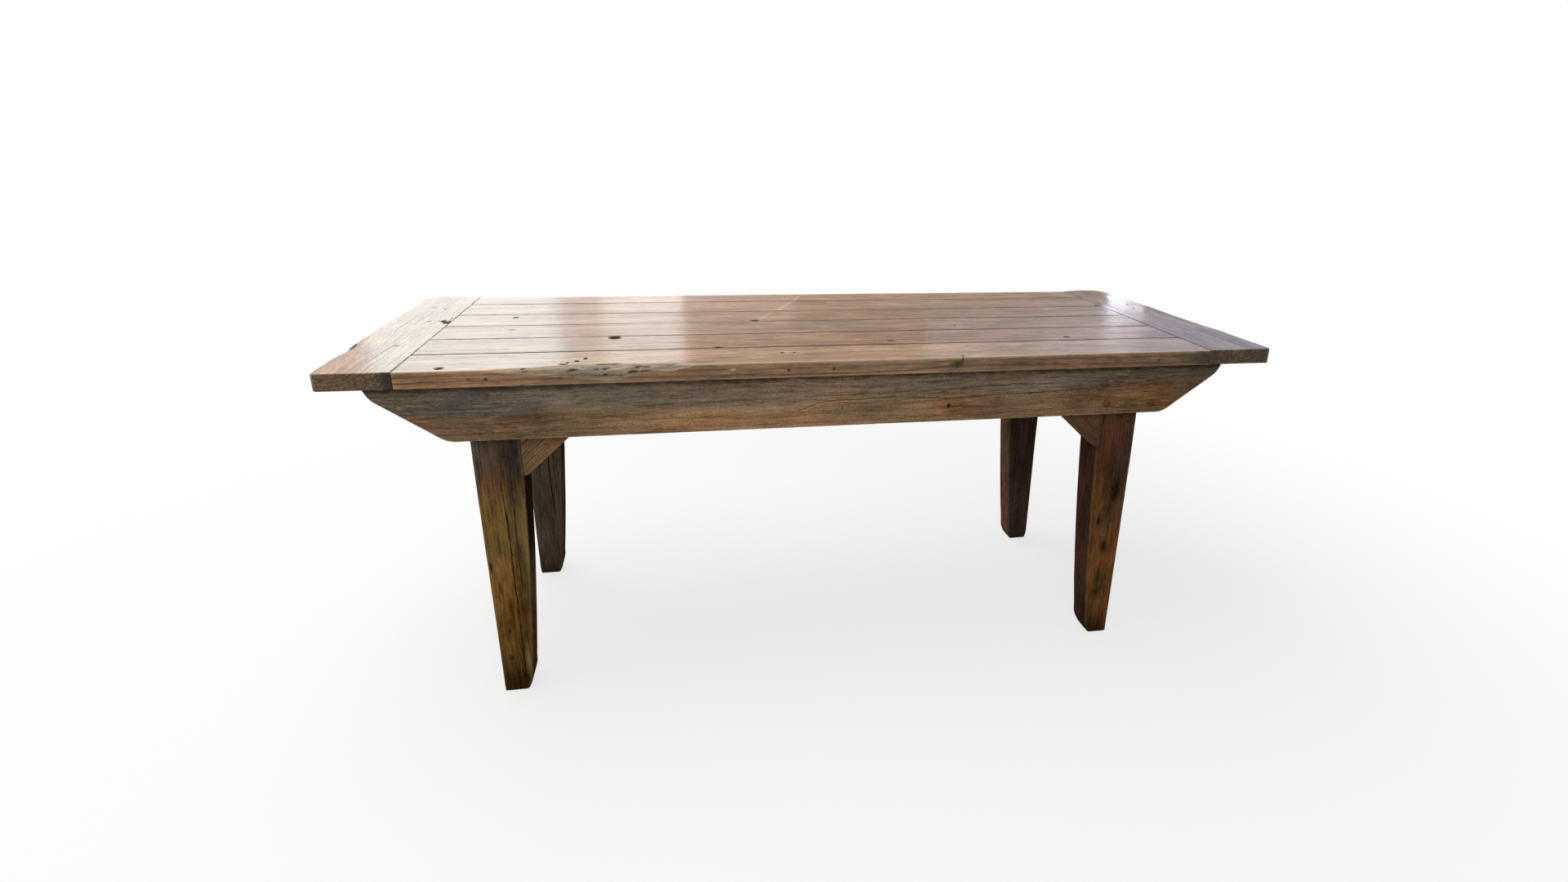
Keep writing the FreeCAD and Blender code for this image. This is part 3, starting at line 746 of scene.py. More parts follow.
# Top boards, front to back. pith: where the middle of the log lies from the board's own middle
boards = {
    1: {
        "seed": 3, "pith": (30, -75), "tone": (0.6, 0.0),
        "marks": {"over": (
            ("hole", (-772, -380, 7.5, 9, 6.0), (-515, -330, 4, 8, 2.5), (-529, -349, 5, 7, 2.5),
                (-552, -372, 7, 5, 2.5), (-545, -362, 2.5, 5, 1.5), (-122, -318, 5, 5, 1.6),
                (-97, -320, 4, 4, 1.6), (249, -393, 1.4, 8, 2.0), (255, -387, 5, 1.6, 1.5)),
        ), "low": (
            ("hole", (248, 756, 1.4, 5, 1.5)),
            ("nail", (-718, 743, 4.0, 4.0, 1.0), (-689, 743, 4.0, 4.0, 1.0)),
            ("rub", (-234, 749, 2.6, 2.4, 1.0), (-228, 749, 2.2, 2.2, 1.0)),
            ("nail", (-119, 744, 4.4, 4.2, 1.6), (-26, 744, 4.4, 4.2, 1.6)),
            ("stain", (10, 746, 22, 6, 0.5), (240, 748, 26, 9, 0.75)),
            ("nail", (236, 739, 2.2, 2.2, 1.5), (308, 744, 2.4, 2.2, 1.5)),
            ("shade", (378, 746, 16, 9, 0.5), (425, 748, 12, 9, 0.45), (455, 746, 9, 8, 0.4)),
            ("nail", (705, 742, 2.6, 2.6, 2.0)),
            ("shade", (805, 746, 26, 20, 0.55)),
        )},
    },
    2: {
        "seed": 8, "pith": (-35, 60), "tone": (0.42, 0.0),
        "marks": {"over": (
            ("hole", (-470, -146, 13, 14, 9.0), (-250, -259, 9, 8, 4.0), (134, -228, 8, 6, 1.0),
                (557, -235, 8, 7, 0.8)),
            ("crack", (60, -224, 180, -229, 0.8, 0.7)),
        )},
    },
    3: {
        "seed": 14, "pith": (55, 45), "tone": (0.40, 0.2),
        "marks": {"over": (
            ("hole", (330, -82, 4, 4, 1.5)),
            ("knot", (-700, -40, 8, 5, 0.6)),
            ("stain", (200, -40, 120, 10, 0.25)),
        )},
    },
    4: {
        "seed": 21, "pith": (-20, -80), "tone": (0.38, 0.16),
        "marks": {"over": (
            ("hole", (-150, 17, 10, 9, 4.0), (-715, 100, 7, 6, 1.5)),
            ("scratch", (-138, 31, -91, 137, 17.0, 0.35)),
        )},
    },
    5: {
        "seed": 26, "pith": (40, -60), "tone": (0.55, 0.0),
        "marks": {"over": (
            ("hole", (822, 147, 7, 6, 2.0)),
            ("scratch", (-91, 137, -26, 277, 17.0, 0.45)),
        )},
    },
    6: {
        "seed": 33, "pith": (-15, 85), "tone": (0.72, 0.0),
        "marks": {"over": (
            ("scratch", (-26, 277, 20, 382, 17.0, 0.55)),
        )},
    },
}
# the joint behind each board
darkJoints = {1: jointArris, 2: jointArris, 3: tightArris, 4: jointArris, 5: tightArris}
# bark edge left on the front board: where along it, and how far down the front it reaches
waneAlong = (-700.0, -610.0, -510.0, -450.0, -400.0, -345.0, -305.0)
waneDepth = (0.0, 8.0, 23.0, 25.0, 15.0, 11.0, 0.0)
waneSpan = (waneAlong[0], waneAlong[-1])


def waneReach(along):
    return np.interp(along, waneAlong, waneDepth)


def wane(share, seed):
    plain = wornEdge(2.0, 1.2, seed)

    def reach(along):
        ragged = 1 + 0.7 * lineNoise(along, 60.0, seed + 1)
        return plain(along) + share * waneReach(along) * ragged

    return reach


def paintBoard(skin, number):
    broad = grainNoise(skin, (420.0, 60.0, 60.0), boards[number]["seed"] + 2)
    skin["golden"] += 0.7 * broad
    skin["grey"] = np.clip(skin["grey"] + 0.3 * grainNoise(skin, (300.0, 90.0, 90.0), 50), 0, 1)
    atLeast(skin, "grey", 0.3 * ease(-350, -600, skin["along"]))
    skin["grey"] *= skin["facing"]["over"]
    under = skin["facing"]["under"]
    atLeast(skin, "grime", under * 0.25)
    skin["golden"] *= 1 - 0.6 * under
    if number != 1:
        return
    x, y, z = (skin["points"][..., k] for k in range(3))
    front = skin["facing"]["low"]
    ragged = 14 * grainNoise(skin, (60.0, 16.0, 16.0), 61)
    depth = waneReach(x) + ragged * ease(2, 12, waneReach(x))
    bark = ease(-2, 4, depth - (topFace - z)) * ease(3, -2, y - frontEdge - depth) * (waneReach(x) > 0)
    patch = grainNoise(skin, (26.0, 8.0, 8.0), 66)
    atLeast(skin, "grey", bark * np.clip(0.85 + 1.6 * patch, 0, 1))
    skin["worn"] *= 1 - bark
    skin["rough"] = bark * (1.2 + 3.2 * grainNoise(skin, (22.0, 7.0, 7.0), 63))
    dark = ease(0.12, 0.22, grainNoise(skin, (30.0, 6.0, 6.0), 64))
    atLeast(skin, "grime", bark * (0.16 + 0.8 * dark))
    middle = ease(-320, -180, x) * ease(260, 140, x)
    darker = 0.66 - 0.06 * ease(-560, -700, x) - 0.38 * middle + 0.3 * ease(200, 700, x)
    skin["golden"] -= front * darker
    atLeast(skin, "grime", front * (0.16 + 0.3 * ease(150, 500, x) + 0.2 * ease(780, 825, x)))
    skin["amber"] = front * (0.05 + 0.25 * ease(-500, -750, x) + 0.1 * ease(300, 600, x)) * (1 - bark)


for number, look in boards.items():
    front, back = boardLines[number - 1], boardLines[number]
    behind = darkJoints.get(number, wornArris(2.2, 1.0, 71, 0.8, 0.0, 4))
    ahead = darkJoints.get(number - 1)
    lowArris = (1.5, 1.5, 0.3, 0.3, 3)
    if number == 1:
        frontArris = (wane(0.8, 73), wane(0.72, 73), 0.9, 0.0, 10)
        lowArris = wornArris(1.8, 0.8, 75, 0.5, 0.1, 3)
    still = [side for side, n in (("high", number), ("low", number - 1)) if n in darkJoints]
    settings = timberSettings(
        span=(jointX["left"], jointX["right"]), rim=1.2, low=front, high=back, under=underside,
        over=topFace, arris=[behind, (1.2, 1.2, 0.0, 0.4, 2), lowArris, ahead or frontArris],
        plainSides=["under"] + still, stillSides=still,
        alongSpots=[(sum(waneSpan) / 2, 200, 2.4)] if number == 1 else (), fine=4.5,
        paint=lambda skin, n=number: paintBoard(skin, n), **look,
    )
    makeTimber(f"board{number}", f"top_board_{number}", pines["topPine"], settings)
print("top boards built")

# End boards: grain across the table, hand-cut outline
endBoards = {
    "left": {
        "seed": 41, "pith": (-40, 70), "tone": (0.2, 0.2),
        "widths": (137.0, 132.0),  # front, back
        "waves": ((-225.0, 30.0, -6.0), (-120.0, 60.0, 1.0)),  # (y, reach, outwards)
        "marks": {"over": (
            ("hole", (54, -857, 14, 8, 6.0), (70, -868, 11, 6, 3.5)),
            ("crack", (52, -862, 78, -884, 1.6, 2.0), (40, -853, 120, -858, 1.2, 1.5)),
            ("hole", (-190, -983, 34, 6, 2.5)),
            ("stain", (-196, -976, 44, 10, 0.6), (-240, -955, 70, 25, 0.4)),
            ("shade", (-372, -940, 60, 50, -0.25)),
            ("amber", (-360, -945, 90, 44, 0.4), (-220, -965, 70, 20, 0.4)),
            ("knot", (250, -930, 8, 5, 0.6)),
            ("crack", (-40, -945, 150, -940, 0.8, 0.8), (-330, -915, -140, -905, 0.7, 0.7),
                (30, -925, 200, -918, 0.7, 0.6)),
        )},
    },
    "right": {
        "seed": 47, "pith": (35, -65), "tone": (0.1, 0.2), "widths": (156.0, 129.0),
        "waves": ((-215.0, 60.0, 5.0), (110.0, 90.0, 4.0)),
        "marks": {"over": (
            ("hole", (161, 924, 4, 3, 2.0), (100, 913, 4, 3, 2.0)),
            ("crack", (-360, 930, -60, 922, 0.8, 0.8), (-250, 955, 120, 948, 0.8, 0.8),
                (-300, 880, -120, 876, 0.7, 0.6)),
        )},
    },
}
endBackReach = 18.0  # the end boards stand past the back edge of the long boards
frontRadius, backRadius = 14.0, 42.0
shoulderShare, jointShare = 0.45, 0.2


def cornerIn(fromEnd, radius):
    inside = np.clip(radius - fromEnd, 0, radius)
    return radius - np.sqrt(radius**2 - inside**2)


def endOutline(end):
    look, out = endBoards[end], outX[end]
    backEnd = backEdge + endBackReach

    def outer(y):
        width = np.interp(y, (frontEdge, backEnd), look["widths"])
        for middle, reach, rise in look["waves"]:
            width = width + rise * np.exp(-(((y - middle) / reach) ** 2))
        width = width + 1.6 * lineNoise(y, 120.0, look["seed"])
        width = width - cornerIn(y - frontEdge, frontRadius) - cornerIn(backEnd - y, backRadius)
        return jointX[end] + out * width

    def inner(y):
        past = y - backEdge - endBackReach * jointShare
        rise = np.clip(past / (endBackReach * (1 - jointShare)), 0, 1)
        return jointX[end] + out * look["widths"][1] * shoulderShare * rise**1.15

    return outer, inner


def paintEnd(skin, end):
    broad = grainNoise(skin, (300.0, 45.0, 45.0), endBoards[end]["seed"] + 2)
    skin["golden"] += 0.6 * broad
    skin["grey"] = np.clip(skin["grey"] + 0.5 * grainNoise(skin, (160.0, 30.0, 30.0), 52), 0, 1)
    skin["grey"] *= skin["facing"]["over"]
    atLeast(skin, "grime", skin["facing"]["under"] * 0.25)
    front = ease(frontEdge + 4, frontEdge + 1.5, skin["along"])
    skin["golden"] *= 1 - 0.8 * front
    soiled = 0.55 + 0.3 * ease(-30, -6, skin["axis1"] - jointX["left"]) if end == "left" else 0.68
    atLeast(skin, "grime", front * soiled)


for end, look in endBoards.items():
    outer, inner = endOutline(end)
    limits = {"low": outer, "high": inner} if end == "left" else {"low": inner, "high": outer}
    outerArris = wornArris(2.6, 1.4, 81, 0.6, 0.0, 4)
    lower = (1.6, 1.6, 0.3, 0.2, 3)
    upper = (endArris, outerArris) if end == "left" else (outerArris, endArris)
    settings = timberSettings(
        span=(frontEdge, backEdge + endBackReach), under=underside, over=topFace,
        arris=[upper[0], lower, lower, upper[1]], plainSides=["under"],
        stillSides=["high" if end == "left" else "low"],
        alongSpots=[(backEdge + endBackReach, 6, 1.0), (frontEdge, 5, 1.2), (backEdge, 16, 3.0)],
        step=4.5, fine=4.0, rim=2.2, axes=axesOf("yxz"), paint=lambda skin, e=end: paintEnd(skin, e),
        **limits, **{key: look[key] for key in ("seed", "pith", "tone", "marks")},
    )
    makeTimber(f"endBoard{end.title()}", f"breadboard_end_{end}", pines["endPine"], settings)
print("end boards built")

# Side rails: along X, across Z, through Y
rails = {
    "front": {
        "seed": 55, "pith": (-12, 60),
        "marks": {"under": (
            ("plug", (722, 631, 8, 8, 0.8), (611, 634, 8, 8, 0.6)),
            ("shade", (722, 631, 10, 9, 0.45), (611, 634, 11, 8, 0.45), (663, 631, 14, 10, 0.45)),
            ("hole", (235, 645, 3.6, 3.6, 4.0)),
            ("shade", (252, 638, 26, 16, 0.4)),
            ("nail", (-73, 644, 2.0, 2.0, 1.0), (27, 640, 2.2, 2.2, 1.5), (-1, 648, 1.6, 1.6, 1.0),
                (-720, 624, 2.0, 2.0, 1.0)),
            ("rub", (-857, 682, 3.0, 2.6, 0.8)),
            ("scratch", (-692, 642, -676, 630, 1.2, 0.9), (-694, 634, -684, 629, 1.1, 0.8)),
            ("chip", (-207, 616, 9, 4, 1.2), (-370, 622, 4, 3, 0.8)),
            ("shade", (-614, 654, 24, 20, 0.42), (-380, 613, 60, 7, 0.5), (-640, 616, 30, 8, 0.4),
                (540, 640, 34, 30, 0.3), (596, 676, 14, 12, 0.4), (519, 676, 28, 6, 0.35)),
            ("swirl", (135, 676, 90, 11, 16.0), (590, 676, 60, 9, 12.0)),
            ("scratch", (-335, 660, -105, 658, 1.3, 0.35)),
            ("grain", (-98, 646, -40, 666, 1.6, 0.68), (-42, 666, 132, 669, 1.7, 0.77),
                (128, 669, 240, 661, 1.6, 0.68), (-60, 677, 170, 681, 1.5, 0.51)),
            ("scratch", (-88, 645, -40, 662, 1.3, 0.3), (-38, 662, 110, 664, 1.3, 0.3)),
            ("grain", (236, 661, 400, 667, 1.8, 0.77), (400, 667, 570, 673, 1.8, 0.8),
                (560, 673, 700, 683, 1.8, 0.8), (690, 683, 800, 700, 1.6, 0.77),
                (250, 684, 420, 690, 1.4, 0.59), (420, 652, 560, 655, 1.4, 0.59),
                (610, 694, 760, 703, 1.5, 0.68)),
            ("scratch", (330, 672, 470, 676, 1.3, 0.35), (640, 684, 760, 694, 1.3, 0.3),
                (420, 660, 450, 664, 2.0, 0.4)),
            ("shade", (480, 660, 40, 24, -0.4), (170, 636, 50, 16, -0.25), (60, 640, 40, 12, 0.25),
                (330, 632, 50, 12, 0.3), (420, 690, 60, 14, -0.25), (690, 660, 50, 12, -0.3),
                (-760, 690, 40, 20, 0.25), (-540, 676, 50, 14, -0.2)),
            ("amber", (690, 642, 100, 34, 1.0), (250, 638, 45, 22, 0.8), (-690, 632, 80, 20, 0.7),
                (-830, 690, 60, 30, 0.4), (-200, 630, 160, 20, 0.3)),
        )},
    },
    "back": {
        "seed": 59, "pith": (20, -55),
        "marks": {"over": (
            ("knot", (-320, 660, 12, 7, 0.7), (410, 640, 9, 6, 0.6)),
            ("nail", (60, 690, 3, 3, 2.0)),
            ("crack", (-500, 655, -380, 651, 0.9, 1.2)),
        )},
    },
}
noseLean, noseHeight, slantLength = 14.0, 30.0, 140.0
noseReach, slantReach = 11.0, 16.0  # how far the rounding of each corner runs
pastSlant = 400.0  # here the lower edge is straight
railLow, railHigh = boxOf("side_rail_front")
railBottom, railTop = railLow[2], railHigh[2]


# the lower edge from a nose to the straight part, its two corners eased
def railLower(x):
    near = np.minimum(x - railLow[0], railHigh[0] - x)
    corners = [(0.0, railTop), (noseLean, railTop - noseHeight)]
    corners += [(slantLength, railBottom), (pastSlant, railBottom)]
    path = [corners[0]]
    for k, reach in ((1, noseReach), (2, slantReach)):
        before, here, after = (np.array(corners[n]) for n in (k - 1, k, k + 1))
        first = here + (before - here) * reach / np.linalg.norm(before - here)
        last = here + (after - here) * reach / np.linalg.norm(after - here)
        for share in np.linspace(0, 1, 7):
            path.append((1 - share) ** 2 * first + 2 * share * (1 - share) * here + share**2 * last)
    path.append(corners[3])
    return np.interp(near, [p[0] for p in path], [p[1] for p in path])


# how the rail has aged along its length: height of the golden part, darkness in and above it, greyness
railAge = {
    "along": (-900, -700, -560, -330, -90, -40, 240, 480, 620, 900),
    "goldHeight": (60, 50, 56, 50, 48, 62, 58, 60, 72, 80),
    "lowerDim": (0.57, 0.52, 0.42, 0.12, 0.06, 0.24, 0.40, 0.44, 0.60, 0.68),
    "upperDim": (0.26, 0.0, 0.05, 0.04, 0.03, 0.14, 0.30, 0.32, 0.50, 0.58),
    "upperGrey": (0.45, 0.95, 0.60, 0.35, 0.20, 0.12, 0.08, 0.18, 0.15, 0.25),
}


def paintRail(skin, side):
    seed = rails[side]["seed"]
    x, z = skin["along"], skin["axis1"]
    edge = roughNoise(np.stack([x / 190, z / 22, x * 0 + seed], -1), seed)
    patches = roughNoise(np.stack([x / 110, z / 30, x * 0 + seed], -1), seed + 6)
    age = {key: np.interp(x, railAge["along"], values) for key, values in railAge.items()}
    lower = ease(9, -8, z - railBottom - age["goldHeight"] + 22 * edge)
    upper = 1 - lower
    skin["golden"] = lower * (0.9 + 0.6 * patches) + upper * (0.12 + 0.5 * patches)
    skin["grey"] = np.clip(upper * (age["upperGrey"] + 0.9 * patches), 0, 1)
    skin["dim"] = lower * age["lowerDim"] + upper * age["upperDim"] + 0.4 * np.clip(edge, 0, 1)
    # painted shadow: a dark band along the top of the rail, where the overhang of the top shades it, laid
    # into the grime layer
    underTopShadow = ease(railTop - 30, railTop - 12, z + 10 * edge)
    atLeast(skin, "grime", underTopShadow * 0.6)


for side, look in rails.items():
    low, high = boxOf(f"side_rail_{side}")
    lower = wornArris(2.4, 1.2, 91, 0.55, 0.0, 4)
    upper = (1.5, 1.5, 0.1, 0.2, 3)
    settings = timberSettings(
        span=(railLow[0], railHigh[0]), low=railLower, high=railTop, under=low[1], over=high[1],
        arris=[upper, lower, lower, upper], alongSpots=[(railLow[0], 22, 1.2), (railHigh[0], 22, 1.2)],
        rim=0.8, fine=4.0, lumps=0.6, plainSides=["over" if side == "front" else "under", "high"],
        axes=axesOf("xzy"), tone=(0.3, 0.0), paint=lambda skin, s=side: paintRail(skin, s), **look,
    )
    makeTimber(f"sideRail{side.title()}", f"side_rail_{side}", pines["railPine"], settings)
print("side rails built")

# Legs: along Z, across X, through Y, tapered below the knee braces
legs = {
    ("front", "left"): {
        "seed": 63, "pith": (20, 30),
        "marks": {"under": (
            ("crack", (512, -702, 330, -698, 0.8, 2.5), (452, -699, 8, -702, 1.3, 8.0),
                (450, -684, 235, -686, 1.0, 1.5)),
            ("amber", (490, -708, 36, 30, 0.35)),
            ("stain", (154, -723, 9, 5, 0.7)),
            ("shade", (565, -684, 70, 26, 0.42), (300, -684, 130, 13, 0.4)),
            ("stain", (86, -728, 8, 14, 0.6)),
            ("shade", (30, -720, 40, 34, 0.6)),
            ("stain", (317, -743, 20, 5, 0.8), (230, -735, 26, 7, 0.5)),
            ("rub", (80, -692, 26, 4, 0.9), (350, -667, 60, 4, 0.8)),
            ("gold", (300, -738, 160, 8, 0.5), (180, -715, 120, 14, 0.35)),
            ("scratch", (600, -716, 585, -700, 0.8, 0.5), (596, -700, 574, -712, 0.8, 0.4)),
        )},
    },
    ("front", "right"): {
        "seed": 67, "pith": (-25, 25),
        "marks": {"under": (
            ("swirl", (330, 656, 40, 9, 7.0)),
            ("stain", (325, 650, 24, 6, 0.8)),
            ("shade", (398, 682, 34, 17, 0.9), (470, 662, 46, 26, 0.3)),
            ("amber", (560, 664, 60, 40, 0.3)),
            ("shade", (250, 672, 18, 9, 0.85), (160, 668, 40, 5, 0.7), (120, 670, 12, 9, 0.6),
                (14, 680, 26, 34, 0.6)),
            ("nail", (578, 692, 4, 4, 2.0)),
            ("crack", (400, 664, 300, 660, 0.9, 1.5)),
            ("gold", (300, 642, 200, 10, 1.0), (110, 674, 100, 26, 0.7)),
        )},
    },
    ("back", "left"): {
        "seed": 70, "pith": (30, -35),
        "marks": {"under": (
            ("crack", (500, -700, 180, -694, 1.6, 3.0), (470, -682, 220, -684, 1.2, 2.0)),
            ("rub", (380, -706, 120, 4, 0.35), (360, -690, 120, 3, 0.3)),
        )},
    },
    ("back", "right"): {
        "seed": 76, "pith": (-30, -30),
        "marks": {"over": (
            ("crack", (420, 660, 120, 664, 1.2, 2.5)),
            ("knot", (350, 690, 9, 6, 0.7)),
        )},
    },
}
legSquare, footRound = 519.0, 45.0  # heights where the taper starts and the foot is rounded
topWidth, footWidth, toeWidth = 94.0, 62.0, 49.0
topDepth, footDepth, toeDepth = 87.0, 80.0, 67.0
legLean, legBelly, toeBelly = 11.0, 4.0, 4.0


def legTaper(z, top, foot, toe, belly):
    taper = np.clip((z - footRound) / (legSquare - footRound), 0, 1)
    toeShare = np.clip(z / footRound, 0, 1)
    upper = foot + (top - foot) * taper + 4 * belly * taper * (1 - taper)
    lower = toe + (foot - toe) * toeShare + 4 * toeBelly * toeShare * (1 - toeShare)
    return np.where(z < footRound, lower, upper)


def legWide(z):
    return legTaper(z, topWidth, footWidth, toeWidth, legBelly)


def legDeep(z):
    return legTaper(z, topDepth, footDepth, toeDepth, 0.0)


def legLeanAt(z):
    return legLean * np.clip(1 - z / legSquare, 0, 1)


# painted shade: how much darker the inner face of each left leg is painted
legShade = {("front", "left"): 0.7, ("back", "left"): 0.6}  # on the inner face


def paintLeg(skin, side, end):
    z, x, y = skin["along"], skin["axis1"], skin["axis2"]
    seed = legs[side, end]["seed"]
    streak = roughNoise(np.stack([z / 260, x / 9, y / 9], -1), seed + 1)
    cloud = roughNoise(np.stack([z / 60, x / 16, y / 16], -1), seed + 5)
    lower = ease(530, 410, z + 160 * streak) if end == "left" else ease(480, 330, z + 220 * streak)
    inside = skin["facing"]["high" if end == "left" else "low"]
    behind = skin["facing"]["over" if side == "front" else "under"]
    # painted shade: the inner face is painted darker and less golden; on the left legs this fades out
    # towards the foot
    shaded = inside * (ease(250, 400, z) if end == "left" else 1.0)
    skin["golden"] = lower * (0.78 + 0.6 * streak) * (1 - 0.85 * shaded) * (1 - 0.5 * behind)
    skin["golden"] *= 1.0 if side == "front" else 0.25
    skin["grey"] = np.clip(ease(500, 570, z) * (0.55 + streak), 0, 1) * (0.8 if end == "left" else 0.2)
    if (side, end) == ("back", "left"):
        atLeast(skin, "grey", 0.55 + 0.9 * streak)
    skin["dim"] = (0.28 if end == "left" else 0.08) * ease(330, 150, z) + 0.5 * ease(0.04, 0.32, cloud)
    skin["dim"] *= 1.0 if side == "front" else 0.3
    skin["dim"] = skin["dim"] + 0.3 * ease(90, 20, z) - 0.1 * ease(430, 480, z)
    atLeast(skin, "dim", shaded * legShade.get((side, end), 0.0))
    # painted shade: the right legs' inner faces are painted greyer
    if end == "right":
        atLeast(skin, "grey", 0.3 * inside)
    # the back right leg: its inner face is painted lighter, as painted light, and its front face darker
    # and greyer, partly painted shade and partly its own grey
    if (side, end) == ("back", "right"):
        skin["dim"] = 0.15 * skin["facing"]["under"] - (0.6 + streak) * inside
        skin["grey"] = np.maximum(skin["grey"] * (1 - inside), 0.8 * skin["facing"]["under"])
    atLeast(skin, "grime", ease(0.12, 0.36, cloud) * (0.5 if side == "front" else 0.2))
    atLeast(skin, "grime", ease(22, 4, z) * 0.5)


for (side, end), look in legs.items():
    low, high = boxOf(f"leg_{side}_{end}")
    if end == "left":
        across = {"low": low[0], "high": lambda z: low[0] + legWide(z)}
    else:
        across = {"low": lambda z: high[0] - legWide(z), "high": high[0]}
    if side == "front":
        through = {"under": lambda z: low[1] + legLeanAt(z), "over": lambda z: low[1] + legDeep(z)}
    else:
        through = {"under": lambda z: high[1] - legDeep(z), "over": lambda z: high[1] - legLeanAt(z)}
    legArris = wornArris(3.2, 2.0, look["seed"], 0.5, 0.0, 4)
    settings = timberSettings(
        span=(low[2], high[2]), arris=[legArris] * 4, alongSpots=[(0.0, 12, 2.0)], step=5.0, fine=4.0,
        lumps=0.9, rim=3.0, tone=(0.4, 0.0), axes=axesOf("zxy"),
        paint=lambda skin, s=side, e=end: paintLeg(skin, s, e), **across, **through, **look,
    )
    finish = pines["legPine" if end == "left" else "legPineRed"]
    makeTimber(f"leg{side.title()}{end.title()}", f"leg_{side}_{end}", finish, settings)
print("legs built")

# Knee braces: triangles with blunt tips, grain along the long edge
braceTip = 8.0


def braceSettings(side, end, seed):
    low, high = boxOf(f"knee_brace_{side}_{end}")
    away = 1.0 if end == "left" else -1.0  # from the leg along the rail
    length, height = high[0] - low[0], high[2] - low[2]
    foot = np.array((braceTip, -height))  # outline from the corner at leg and rail, in x and z
    head = np.array((length, -braceTip))
    run = np.linalg.norm(head - foot)
    ahead = (head - foot) / run
    square = np.array((-ahead[1], ahead[0]))
    spots = [np.array(p) - foot for p in ((0.0, -height), (0.0, 0.0), (length, 0.0))]
    start, peak, stop = ((p @ ahead, p @ square) for p in spots)
    legX = low[0] if end == "left" else high[0]
    alongLine, acrossLine = ((line[0] * away, 0.0, line[1]) for line in (ahead, square))
    return timberSettings(
        span=(start[0], stop[0]),
        low=lambda a: np.interp(a, (start[0], 0.0, run, stop[0]), (start[1], 0.0, 0.0, stop[1])),
        high=lambda a: np.interp(a, (start[0], peak[0], stop[0]), (start[1], peak[1], stop[1])),
        under=low[1], over=high[1], arris=[(2.0, 2.0, 0.5, 0.1, 3)] * 4, alongSpots=[(peak[0], 3, 1.5)],
        step=3.5, fine=4.0, rim=0.8, lumps=0.5, chips=1.5, seed=seed, pith=(30, 45), tone=(0.5, 0.05),
        axes=np.array((alongLine, acrossLine, (0.0, 1.0, 0.0))),
        origin=np.array((legX + away * foot[0], 0.0, high[2] + foot[1])),
        paint=lambda skin: paintBrace(skin, seed),
    )


def paintBrace(skin, seed):
    streak = grainNoise(skin, (90.0, 9.0, 12.0), seed)
    skin["golden"] += 0.8 * streak
    skin["grey"] = np.clip(skin["grey"] + 0.6 * streak, 0, 1)


for count, (side, end) in enumerate(legs):
    settings = braceSettings(side, end, 80 + 3 * count)
    name = f"kneeBrace{side.title()}{end.title()}"
    finish = pines["bracePine" if end == "left" else "bracePineRed"]
    makeTimber(name, f"knee_brace_{side}_{end}", finish, settings)
print("knee braces built")


# Inside woodwork: end rails and battens, sawn and left unstained
def paintInner(skin):
    atLeast(skin, "grime", 0.2 + 0.5 * grainNoise(skin, (120.0, 25.0, 25.0), 95))


sawn = {"arris": [(1.2, 1.2, 0.3, 0.15, 3)] * 4, "step": 9.0, "fine": 7.0, "paint": paintInner}
for count, end in enumerate(("left", "right")):
    low, high = boxOf(f"end_rail_{end}")
    settings = timberSettings(
        span=(boxOf("leg_front_left")[1][1], boxOf("leg_back_left")[0][1]), low=low[2], high=high[2],
        under=low[0], over=high[0], seed=97 + count, pith=(18, 70), tone=(0.3, 0.2),
        marks={
            "under": [("knot", (60 - 90 * count, 680, 9, 6, 0.5))],
            "over": [("knot", (-110, 660, 7, 5, 0.5))],
        },
        axes=axesOf("yzx"), **sawn,
    )
    makeTimber(f"endRail{end.title()}", f"end_rail_{end}", pines["innerPine"], settings)
for count, spot in enumerate(("left", "middle", "right")):
    low, high = boxOf(f"batten_{spot}")
    bevel = (high[2] - low[2]) / 2
    settings = timberSettings(
        span=(low[1], high[1]), low=low[0], high=high[0],
        under=lambda y: low[2] + np.clip(bevel - np.minimum(y - low[1], high[1] - y), 0, bevel),
        over=high[2], seed=103 + count, pith=(-10, 55), tone=(0.4, 0.1),
        marks={"under": [("knot", (-120 + 130 * count, (low[0] + high[0]) / 2 + 12, 9, 6, 0.5))]},
        axes=axesOf("yxz"), **sawn,
    )
    makeTimber(f"batten{spot.title()}", f"batten_{spot}", pines["innerPine"], settings)
print("end rails and battens built")


# Small parts keep their solids and get finishes of their own
speckBump, speckDepth = 0.4, 0.0003  # strength, m
railGreying = (0.64, 0.69)  # m, heights between which the rail turns grey


def speckledMaterial(name, look):
    material, tree, shader = startMaterial(name)
    spot = tree.nodes.new("ShaderNodeTexCoord").outputs["Object"]
    speckle = noiseAt(tree, vectorCalc(tree, "MULTIPLY", spot, look["stretch"]), 1.0, 4.0)
    cloud = noiseAt(tree, spot, 60.0, 3.0)
    share = between(tree, speckle, 0.3, 0.7)
    colour = mixColour(tree, share, look["dark"], look["pale"])
    colour = mixColour(tree, between(tree, cloud, 0.45, 0.7, 0.0, 0.6), colour, look["stain"])
    if "upper" in look:
        height = between(tree, partsOf(tree, spot)[2], *railGreying)
        colour = mixColour(tree, height, colour, mixColour(tree, 1.0, colour, look["upper"], "MULTIPLY"))
    feed(tree, shader.inputs["Base Color"], colour)
    feed(tree, shader.inputs["Roughness"], between(tree, cloud, 0.3, 0.7, *look["rough"]))
    shader.inputs["Metallic"].default_value = look["metal"]
    shader.inputs["Specular IOR Level"].default_value = look["shine"]
    addBump(tree, shader, speckle, speckBump, speckDepth)
    return material


